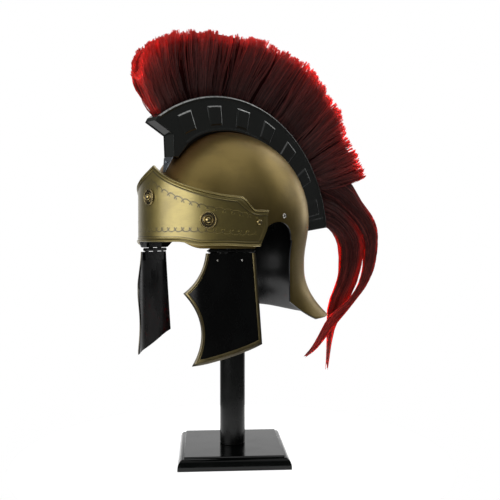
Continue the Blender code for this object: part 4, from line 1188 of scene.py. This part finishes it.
def sagged(start, end, sag, steps):
    """Arc from start to end that bows to the left of its run by the sag, without its end point."""
    start, end = Vector(start), Vector(end)
    chord = end - start
    normal = Vector((-chord.y, chord.x)).normalized()
    return [tuple(start + chord * part + normal * sag * 4 * part * (1 - part))
            for part in spread(0.0, 1.0, steps)[:-1]]


def cheek_edge():
    """The trimmed edge from the hinge's front end, by hook and point, to its rear end."""
    rear_steps = HOOK_STEPS + POINT_STEPS - FOOT_STEPS
    return [
        *sagged(CHEEK_TOP_FRONT, CHEEK_HOOK, CHEEK_SAGS["front"], HOOK_STEPS),
        *sagged(CHEEK_HOOK, CHEEK_POINT, CHEEK_SAGS["hook"], POINT_STEPS),
        *sagged(CHEEK_POINT, CHEEK_REAR_FOOT, CHEEK_SAGS["foot"], FOOT_STEPS),
        *sagged(CHEEK_REAR_FOOT, CHEEK_TOP_REAR, 0.0, rear_steps),
        CHEEK_TOP_REAR,
    ]


def inset_edge(edge, distance, foot_distance):
    """The edge moved into the plate, mitred at its corners; its ends stay level with the top."""
    foot = range(HOOK_STEPS + POINT_STEPS, HOOK_STEPS + POINT_STEPS + FOOT_STEPS)
    points = [Vector(pair) for pair in edge]
    runs = [(end - start).normalized() for start, end in zip(points, points[1:])]
    reaches = [foot_distance if k in foot else distance for k in range(len(runs))]
    normals = [Vector((run.y, -run.x)) for run in runs]
    moved = [points[0] + normals[0] * reaches[0]]
    for k, point in enumerate(points[1:-1]):
        if reaches[k] == reaches[k + 1]:
            middle = (normals[k] + normals[k + 1]).normalized()
            moved.append(point + middle * (reaches[k] / middle.dot(normals[k])))
        else:
            slide = reaches[k + 1] - reaches[k] * normals[k].dot(normals[k + 1])
            moved.append(point + normals[k] * reaches[k]
                         + runs[k] * (slide / runs[k].dot(normals[k + 1])))
    moved.append(points[-1] + normals[-1] * reaches[-1])
    for i in (0, -1):
        moved[i].y = points[i].y
    return [tuple(point) for point in moved]


TRIM_PROFILE = (
    # (part of the width from the outer edge, part of the height)
    (0.0, -0.25), (0.0, 0.45), (0.06, 0.62), (0.30, 0.72), (0.42, 1.0), (0.60, 1.0), (0.92, 0.62),
    (1.0, 0.4), (1.0, -0.25),
)


def make_cheek_guard(side, sign):
    body = "cheek_guard_" + side
    place = cheek_place(sign)
    edge = inset_edge(cheek_edge(), PLATE_INSET, PLATE_INSET)
    turn = HOOK_STEPS + POINT_STEPS
    pairs = [(Vector(a), Vector(b)) for a, b in zip(edge[:turn], reversed(edge[turn + 1:]))]
    tip = Vector(edge[turn])
    last = pairs[-1]
    pairs += [tuple(end.lerp(tip, part) for end in last) for part in TIP_PARTS]
    rings = []
    for front, back in pairs:
        line = [front.lerp(back, part) for part in spread(0.0, 1.0, PLATE_STEPS)]
        ring = [place(p.x, p.y, 0.0) for p in line]
        ring += [place(p.x, p.y, -CHEEK_WALL) for p in reversed(line)]
        rings.append(ring)
    plate = add_piece("guard_plate_" + side, loft(rings), ["enamel"],
                      ["cheek_plate_" + side], body)
    soften(plate, 0.4, segments=2, angle_deg=50.0)
    edge = cheek_edge()
    lines = [inset_edge(edge, TRIM_WIDTH * across, TRIM_FOOT_WIDTH * across)
             for across, _ in TRIM_PROFILE]
    rings = [[place(*line[i], TRIM_GAP + TRIM_HEIGHT * up) for line, (_, up) in zip(lines, TRIM_PROFILE)]
             for i in range(len(edge))]
    trim = add_piece("guard_trim_" + side, loft(rings), ["gilt"], ["cheek_trim_" + side],
                     body, smooth_deg=30.0)
    # painted shade on the trim's outer side, below its ridge
    recess_shade = [smoothstep(0.5, 0.36, across) for across, _ in TRIM_PROFILE]
    mark(trim.data, "recess_shade", recess_shade * len(edge))
    outward = hinge_axes(sign)[1]
    for which, run in CHEEK_RIVETS.items():
        rivet(f"guard_rivet_{which}_{side}", f"cheek_rivet_{which}_{side}", domed(1.3, 1.0),
              "silver", place(run, CHEEK_RIVET_Z, FIT_GAP), outward, body)
    for node in ("hinge_fixed_", "hinge_pin_", "hinge_leaf_"):
        repaint(node + side, "steel")


# ---- Plume ----

def curve_at(knots, parts):
    """Points of the smooth curve through the knots, at these parts of its run."""
    fine = np.array([tuple(p) for p in smooth_curve([Vector(pair) for pair in knots], 8)])
    steps = np.linspace(0.0, 1.0, len(fine))
    return np.stack([np.interp(parts, steps, fine[:, k]) for k in range(2)], -1)


def crest_points(degrees, reach):
    angle = np.radians(degrees)
    return np.stack([CREST_RIM_Y + reach * np.cos(angle), CREST_RIM_Z + reach * np.sin(angle)], -1)


def strand_mesh(name, paths, radii, shade_and_glow, dye):
    """Closed three-sided strands along the paths, which are (strand, step, xyz) in mm."""
    count, steps, _ = paths.shape
    run = np.gradient(paths, axis=1)
    run /= np.linalg.norm(run, axis=2, keepdims=True)
    side = np.cross(run, [1.0, 0.0, 0.0])
    side /= np.linalg.norm(side, axis=2, keepdims=True)
    other = np.cross(run, side)
    phase = RANDOM.uniform(0.0, 2 * math.pi, (count, 1, 1))
    corners = []
    for k in range(3):
        angle = phase + 2 * math.pi * k / 3
        corners.append(paths + radii[..., None] * (side * np.cos(angle) + other * np.sin(angle)))
    points = np.stack(corners, axis=2).reshape(-1, 3) * 0.001
    first = (np.arange(count)[:, None] * steps + np.arange(steps - 1)[None, :]) * 3
    quads = []
    for k in range(3):
        j = (k + 1) % 3
        quads.append(np.stack([first + k, first + j, first + 3 + j, first + 3 + k], -1))
    quads = np.stack(quads, axis=2).reshape(-1, 4)
    start = np.arange(count) * steps * 3
    end = start + (steps - 1) * 3
    caps = np.concatenate([np.stack([start + 2, start + 1, start], -1),
                           np.stack([end, end + 1, end + 2], -1)])
    mesh = bpy.data.meshes.new(name)
    mesh.vertices.add(len(points))
    mesh.vertices.foreach_set("co", points.astype(np.float32).ravel())
    loops = np.concatenate([quads.ravel(), caps.ravel()]).astype(np.int32)
    mesh.loops.add(len(loops))
    mesh.loops.foreach_set("vertex_index", loops)
    sizes = np.concatenate([np.full(len(quads), 4), np.full(len(caps), 3)])
    mesh.polygons.add(len(sizes))
    mesh.polygons.foreach_set("loop_start", np.concatenate([[0], np.cumsum(sizes)[:-1]]).astype(np.int32))
    mesh.update(calc_edges=True)
    mesh.shade_smooth()
    for label, values in (("shade_and_glow", shade_and_glow), ("dye", dye)):
        mark(mesh, label, np.repeat(values.reshape(-1), 3))
    return mesh


def add_core(name, rings, shade_and_glow_values):
    """The mass of hair behind the strands that are drawn one by one, dark with painted shade."""
    bm = loft([[mm(*point) for point in ring] for ring in rings])
    core = add_piece(name, bm, ["hair_core"], smooth_deg=60.0)
    mark(core.data, "shade_and_glow", shade_and_glow_values)
    mark(core.data, "dye", [CORE_PAINTED_SHADE] * len(shade_and_glow_values))


def brush_root(part):
    """Where on the rim the hair of this part of the brush is set, as an angle."""
    return np.interp(part, np.linspace(0.0, 1.0, len(BRUSH_ROOTS)), BRUSH_ROOTS)


def brush_core():
    rings, shade_and_glow_values = [], []
    for part in spread(*CORE_PARTS, CORE_STEPS):
        root = crest_points(brush_root(part), CREST_RIM_RADIUS + 0.2)
        tip = crest_points(*curve_at(BRUSH_TIPS, part))
        side = []
        for along, half in CORE_SECTION:
            y, z = root + (tip - root) * along
            side.append((half, y, z))
        rings.append(side + [(-x, y, z) for x, y, z in reversed(side)])
        side_shade_and_glow = [brush_shade_and_glow(along) for along, _ in CORE_SECTION]
        shade_and_glow_values += side_shade_and_glow + side_shade_and_glow[::-1]
    add_core("plume_brush_core", rings, shade_and_glow_values)


def scatter(name, shape):
    """Random differences between clumps or hairs."""
    return RANDOM.normal(*SCATTER[name], shape)


def ripple(name, part):
    """Smooth random variation along the brush."""
    knots, size = RIPPLES[name]
    return np.interp(part, np.linspace(0.0, 1.0, knots), RANDOM.normal(0.0, size, knots))


def brush_shade_and_glow(along):
    """Painted shade and glow along a hair of the brush: dark near the root, brighter further out, and a
    painted glow in the fringe at the tip.
    """
    return 0.10 + 0.22 * smoothstep(0.1, 0.7, along) + 0.68 * smoothstep(*FRINGE, along)


def brush_clumps():
    """For each clump: its part of the brush, place across it, length, tip, dye with painted light at the
    front and rear, bow and wave.
    """
    part = RANDOM.uniform(0.0, 1.0, BRUSH_CLUMPS)
    across = np.sign(RANDOM.uniform(-1.0, 1.0, BRUSH_CLUMPS)) * RANDOM.beta(4.0, 1.0, BRUSH_CLUMPS)
    ends = int(BRUSH_CLUMPS * END_SHARE)
    between = int(BRUSH_CLUMPS * MIDDLE_SHARE)
    across[-between:] = RANDOM.uniform(-0.75, 0.75, between)
    part[:ends] = RANDOM.uniform(0.0, 0.02, ends)
    part[ends:2 * ends] = RANDOM.uniform(0.97, 1.0, ends)
    across[:2 * ends] = RANDOM.uniform(-1.0, 1.0, 2 * ends)
    tuft_length = ripple("length", part) + ripple("tuft_length", part)
    tuft_lean = ripple("lean", part)
    length = tuft_length + scatter("clump_length", BRUSH_CLUMPS)
    length -= BURIED_DEPTH * (1.0 - np.abs(across))
    tip = np.clip(part + tuft_lean + scatter("clump_tip", BRUSH_CLUMPS), 0.0, 1.0)
    dye = np.exp(scatter("clump_dye", BRUSH_CLUMPS))
    # painted light, brightening the front and the rear of the brush
    dye *= 1.0 + FRONT_PAINTED_LIGHT * smoothstep(0.34, 0.0, part)
    dye *= 1.0 + REAR_PAINTED_LIGHT * smoothstep(0.55, 0.9, part)
    bow = scatter("clump_bow", BRUSH_CLUMPS) + ripple("bow", part)
    bow += FRONT_BOW * smoothstep(0.0, 0.1, part) * smoothstep(0.45, 0.2, part)
    wave = scatter("clump_wave", BRUSH_CLUMPS) + ripple("wave", part)
    return part, across, length, tip, dye, bow, wave


def brush_strands():
    """Hair that stands out from the crest box, in small clumps that draw together at their tips."""
    count = BRUSH_CLUMPS * CLUMP_HAIRS
    order = np.repeat(np.arange(BRUSH_CLUMPS), CLUMP_HAIRS)
    clump_part, clump_across, clump_length, clump_tip, clump_dye, clump_bow, clump_wave = [
        values[order] for values in brush_clumps()]
    part = clump_part + scatter("hair_part", count)
    across = np.clip(clump_across + scatter("hair_across", count), -1.0, 1.0)
    root = crest_points(brush_root(np.clip(part, 0.0, 1.0)), CREST_RIM_RADIUS - ROOT_DEPTH)
    gather = RANDOM.uniform(0.0, GATHER, count)
    tip_part = part + (clump_tip - part) * gather
    tip_deg, reach = curve_at(BRUSH_TIPS, np.clip(tip_part, 0.0, 1.0)).T
    short = SHORTER * RANDOM.beta(1.0, 3.0, count)
    length = (reach - CREST_RIM_RADIUS + clump_length) * (1.0 - short)
    stray = RANDOM.uniform(0.0, 1.0, count) < STRAY_PART
    length += stray * STRAY_LENGTH * RANDOM.beta(1.0, 2.0, count) * (0.25 + 0.75 * (part > 0.9))
    tip = crest_points(tip_deg, CREST_RIM_RADIUS + length)
    t = np.linspace(0.0, 1.0, BRUSH_STEPS)[None, :]
    line = root[:, None, :] + (tip - root)[:, None, :] * t[..., None]
    run = (tip - root) / np.linalg.norm(tip - root, axis=1, keepdims=True)
    normal = np.stack([-run[:, 1], run[:, 0]], -1)
    bow = np.sin(np.pi * t) * (clump_bow + scatter("hair_bow", count))[:, None]
    bow = bow + np.sin(2 * np.pi * t) * (clump_wave + scatter("hair_wave", count))[:, None]
    line = line + normal[:, None, :] * bow[..., None]
    root_x = across * BRUSH_ROOT_HALF
    tip_x = (across + (clump_across - across) * gather) * BRUSH_TIP_HALF
    closing = CLOSING * smoothstep(0.75, 1.0, t) * RANDOM.uniform(0.0, 1.0, BRUSH_CLUMPS)[order, None]
    x = (root_x[:, None] + (tip_x - root_x)[:, None] * smoothstep(0.0, 0.8, t)) * (1.0 - closing)
    paths = np.concatenate([x[..., None], line], axis=2)
    radii = HAIR_RADIUS * RANDOM.uniform(0.8, 1.25, (count, 1)) * (1.0 - 0.2 * t**3)
    dye = np.clip(clump_dye * np.exp(scatter("hair_dye", count)), 0.12, 2.2)
    # painted glow over the whole length of the hairs at the front edge
    shade_and_glow = np.maximum(brush_shade_and_glow(t), 0.42 * smoothstep(*FRONT_EDGE_GLOW, part)[:, None])
    evened = smoothstep(*FRINGE, t)
    # painted glow in the fringe, brighter towards the rear of the brush
    tip_glow = 0.62 + 0.12 * dye + 0.36 * smoothstep(0.1, 0.65, part)
    dye_and_glow = dye[:, None] * (1.0 - evened) + tip_glow[:, None] * evened
    groups = np.array_split(np.argsort(part, kind="stable"), 3)
    for name, group in zip(("front", "middle", "rear"), groups):
        mesh = strand_mesh("plume_hair_" + name, paths[group], radii[group], shade_and_glow[group], dye_and_glow[group])
        nodes = ["plume_brush"] if name == "front" else []
        place_piece("plume_hair_" + name, mesh, ["hair"], nodes)


def lock_half(part):
    """Half the lock's width across the helmet, thin where the two locks cross."""
    half = LOCK_ROOT_HALF + (LOCK_MIDDLE_HALF - LOCK_ROOT_HALF) * smoothstep(0.0, 0.3, part)
    half = half + (LOCK_TIP_HALF - LOCK_MIDDLE_HALF) * smoothstep(0.35, 1.0, part)
    return half * (1.0 - LOCK_PRESSED * smoothstep(0.35, 0.6, part) * smoothstep(1.0, 0.75, part))


def lock_points(lock, part, turn, fill):
    """Points in a lock: part of its run, turn about it, and part of the way out from its middle."""
    outer, inner = curve_at(lock["outer"], part), curve_at(lock["inner"], part)
    middle, reach = (outer + inner) / 2, (outer - inner) / 2
    line = middle + reach * (np.cos(turn) * fill)[..., None]
    x = lock["shift"] * smoothstep(0.35, 0.6, part) + lock_half(part) * np.sin(turn) * fill
    return np.concatenate([x[..., None], line], axis=-1)


def lock_core(name, lock):
    sides = LOCK_CORE_SIDES
    rings, shade_and_glow_values = [], []
    turns = np.linspace(0.0, 2 * math.pi, sides + 1)[:-1]
    for part in spread(0.0, LOCK_CORE_END, LOCK_CORE_STEPS):
        rings.append(lock_points(lock, np.full(sides, part), turns, np.full(sides, LOCK_CORE_FILL)))
        shade_and_glow_values += [lock_shade_and_glow(part, 0.0)] * sides
    add_core(name + "_core", rings, shade_and_glow_values)


def make_lock(name, node, lock, clumps):
    """A long lock of clumps that run from the crest box to its tip, around a dark core."""
    lock_core(name, lock)
    count = clumps * CLUMP_HAIRS
    order = np.repeat(np.arange(clumps), CLUMP_HAIRS)
    clump_turn = RANDOM.uniform(0.0, 2 * math.pi, clumps)
    clump_fill = RANDOM.beta(5.0, 1.0, clumps)
    clump_end = 1.0 - LOCK_SHORTER * RANDOM.beta(1.0, 2.6, clumps)
    clump_twist = scatter("lock_clump_twist", clumps)
    clump_dye = np.exp(scatter("lock_clump_dye", clumps))
    turn = (clump_turn[order] + scatter("lock_hair_turn", count))[:, None]
    t = np.linspace(0.0, 1.0, LOCK_STEPS)[None, :]
    part = t * (clump_end[order] * (1.0 - SHORTER * RANDOM.uniform(0.0, 1.0, count)))[:, None]
    sway = scatter("lock_clump_sway", clumps)[order, None]
    sway = sway * np.sin(np.pi * t * RANDOM.uniform(0.7, 1.8, clumps)[order, None])
    loose = scatter("lock_hair_loose", (count, 1)) * (1.0 - 0.7 * t)
    fill = np.clip(clump_fill[order, None] + sway + loose, 0.0, 1.04)
    gap_side = -math.copysign(1.0, lock["shift"])
    overlap = LOCK_OVERLAP * (0.13 + 0.87 * smoothstep(0.42, 0.2, part)) * smoothstep(0.0, 0.08, part)
    overlap = overlap * smoothstep(0.85, 0.65, part) * np.clip(gap_side * np.cos(turn), 0.0, 1.0)
    fill = fill * (1.0 + overlap)
    twist = clump_twist[order, None] * t
    paths = lock_points(lock, part, turn + twist, fill)
    radii = HAIR_RADIUS * RANDOM.uniform(0.9, 1.4, (count, 1)) * (1.0 - 0.35 * t**3)
    dye = np.clip(clump_dye[order] * np.exp(scatter("lock_hair_dye", count)), 0.12, 2.4)
    # painted glow on the hairs at the lock's silhouette
    edge = smoothstep(0.62, 0.88, np.abs(np.cos(turn + twist - EDGE_TURN))) * smoothstep(0.70, 0.92, fill)
    shade_and_glow = lock_shade_and_glow(part, edge)
    mesh = strand_mesh(name + "_hair", paths, radii, shade_and_glow, dye[:, None] * np.ones((1, LOCK_STEPS)))
    place_piece(name + "_hair", mesh, ["hair"], [node])


def lock_shade_and_glow(part, edge):
    """Painted shade and glow along a lock: dark near the crest box, brightening towards the tip, and sooner
    on the hairs at its edges, where a painted glow stands in for backlight.
    """
    shade_and_glow = 0.24 + 0.70 * edge * smoothstep(0.08, 0.35, part) + 0.34 * smoothstep(0.4, 0.8, part)
    return np.clip(shade_and_glow, 0.0, 1.0) * (0.6 + 0.4 * smoothstep(0.0, 0.25, part))


# ---- Stage, light and camera ----

def make_stage():
    """A round pale floor that glows, so that it looks nearly white around the stand."""
    bm = bmesh.new()
    bmesh.ops.create_circle(bm, cap_ends=True, segments=96, radius=FLOOR_RADIUS)
    mesh = bpy.data.meshes.new("studio_floor")
    bm.to_mesh(mesh)
    bm.free()
    floor = bpy.data.objects.new("studio_floor", mesh)
    floor.location.z = -FLOOR_DROP
    bpy.context.collection.objects.link(floor)
    paint = Surface("pale_floor", (0.9, 0.9, 0.9), 0.9)
    paint.colour(paint.mix(paint.noise(40.0), (0.90, 0.90, 0.90), (0.88, 0.88, 0.88)))
    paint.shader.inputs["Emission Color"].default_value = WHITE
    paint.shader.inputs["Emission Strength"].default_value = FLOOR_GLOW
    mesh.materials.append(paint.material)


def view_axes():
    """From the object towards the camera, and to the camera's right."""
    turn = math.radians(VIEW_AZIMUTH_DEG)
    return Vector((math.sin(turn), -math.cos(turn), 0.0)), Vector((math.cos(turn), math.sin(turn), 0.0))


def softbox(name, right_deg, height_deg, distance, size, power):
    """A large soft light; its bearing is measured from the camera to the right."""
    towards, right = view_axes()
    bearing, rise = math.radians(right_deg), math.radians(height_deg)
    direction = (towards * math.cos(bearing) + right * math.sin(bearing)) * math.cos(rise)
    direction = direction + Vector((0.0, 0.0, math.sin(rise)))
    light = bpy.data.lights.new(name, "AREA")
    light.shape = "RECTANGLE"
    light.size, light.size_y = size
    light.energy = power
    lamp = bpy.data.objects.new(name, light)
    lamp.location = Vector(LIGHTS_AIM) + direction * distance
    lamp.rotation_euler = (-direction).to_track_quat("-Z", "Y").to_euler()
    bpy.context.collection.objects.link(lamp)


def make_world():
    """White to the camera; the helmet is lit by a studio that is dim in front and bright behind."""
    world = bpy.data.worlds.new("studio")
    bpy.context.scene.world = world
    world.use_nodes = True
    tree = world.node_tree
    tree.nodes.clear()
    kinds = ("TexCoord", "VectorMath", "MapRange", "Background", "Background", "LightPath", "MixShader",
             "OutputWorld")
    place, facing, ramp, studio, backdrop, path, mix, out = [
        tree.nodes.new("ShaderNode" + kind) for kind in kinds]
    facing.operation = "DOT_PRODUCT"
    facing.inputs[1].default_value = -view_axes()[0]
    ramp.interpolation_type = "SMOOTHSTEP"
    for socket, value in zip(ramp.inputs[1:5], (*WORLD_TURN, *WORLD_STRENGTH)):
        socket.default_value = value
    for background in (studio, backdrop):
        background.inputs["Color"].default_value = WHITE
    links = (
        (place.outputs["Generated"], facing.inputs[0]),
        (facing.outputs["Value"], ramp.inputs[0]),
        (ramp.outputs[0], studio.inputs["Strength"]),
        (path.outputs["Is Camera Ray"], mix.inputs[0]),
        (studio.outputs[0], mix.inputs[1]),
        (backdrop.outputs[0], mix.inputs[2]),
        (mix.outputs[0], out.inputs["Surface"]),
    )
    for output, socket in links:
        tree.links.new(output, socket)
    bpy.context.scene.view_settings.view_transform = "Standard"


def make_camera():
    towards, right = view_axes()
    camera = bpy.data.cameras.new("camera")
    camera.sensor_width = 36.0
    camera.lens = CAMERA_LENS
    camera.clip_start = 0.01
    shot = bpy.data.objects.new("camera", camera)
    shot.location = (towards * CAMERA_DISTANCE + right * CAMERA_SIDE) * 0.001 + mm(0.0, 0.0, CAMERA_Z)
    shot.rotation_euler = (math.radians(90.0 - CAMERA_PITCH_DEG), 0.0, math.radians(VIEW_AZIMUTH_DEG))
    bpy.context.collection.objects.link(shot)
    bpy.context.scene.camera = shot


RANDOM = np.random.default_rng(SEED)
SURFACES = make_materials()
make_camera()
for light_name, light_settings in LIGHTS.items():
    softbox(light_name, *light_settings)
make_world()
make_stage()
make_stand()
make_skull()
make_band()
make_rosettes()
make_helmet_rivets()
make_crest_box()
make_crest_tab()
for side_name, side_sign in SIDES.items():
    make_cheek_guard(side_name, side_sign)
brush_core()
brush_strands()
make_lock("plume_outer_lock", "plume_tail_outer", OUTER_LOCK, OUTER_LOCK_CLUMPS)
make_lock("plume_inner_lock", "plume_tail_inner", INNER_LOCK, INNER_LOCK_CLUMPS)
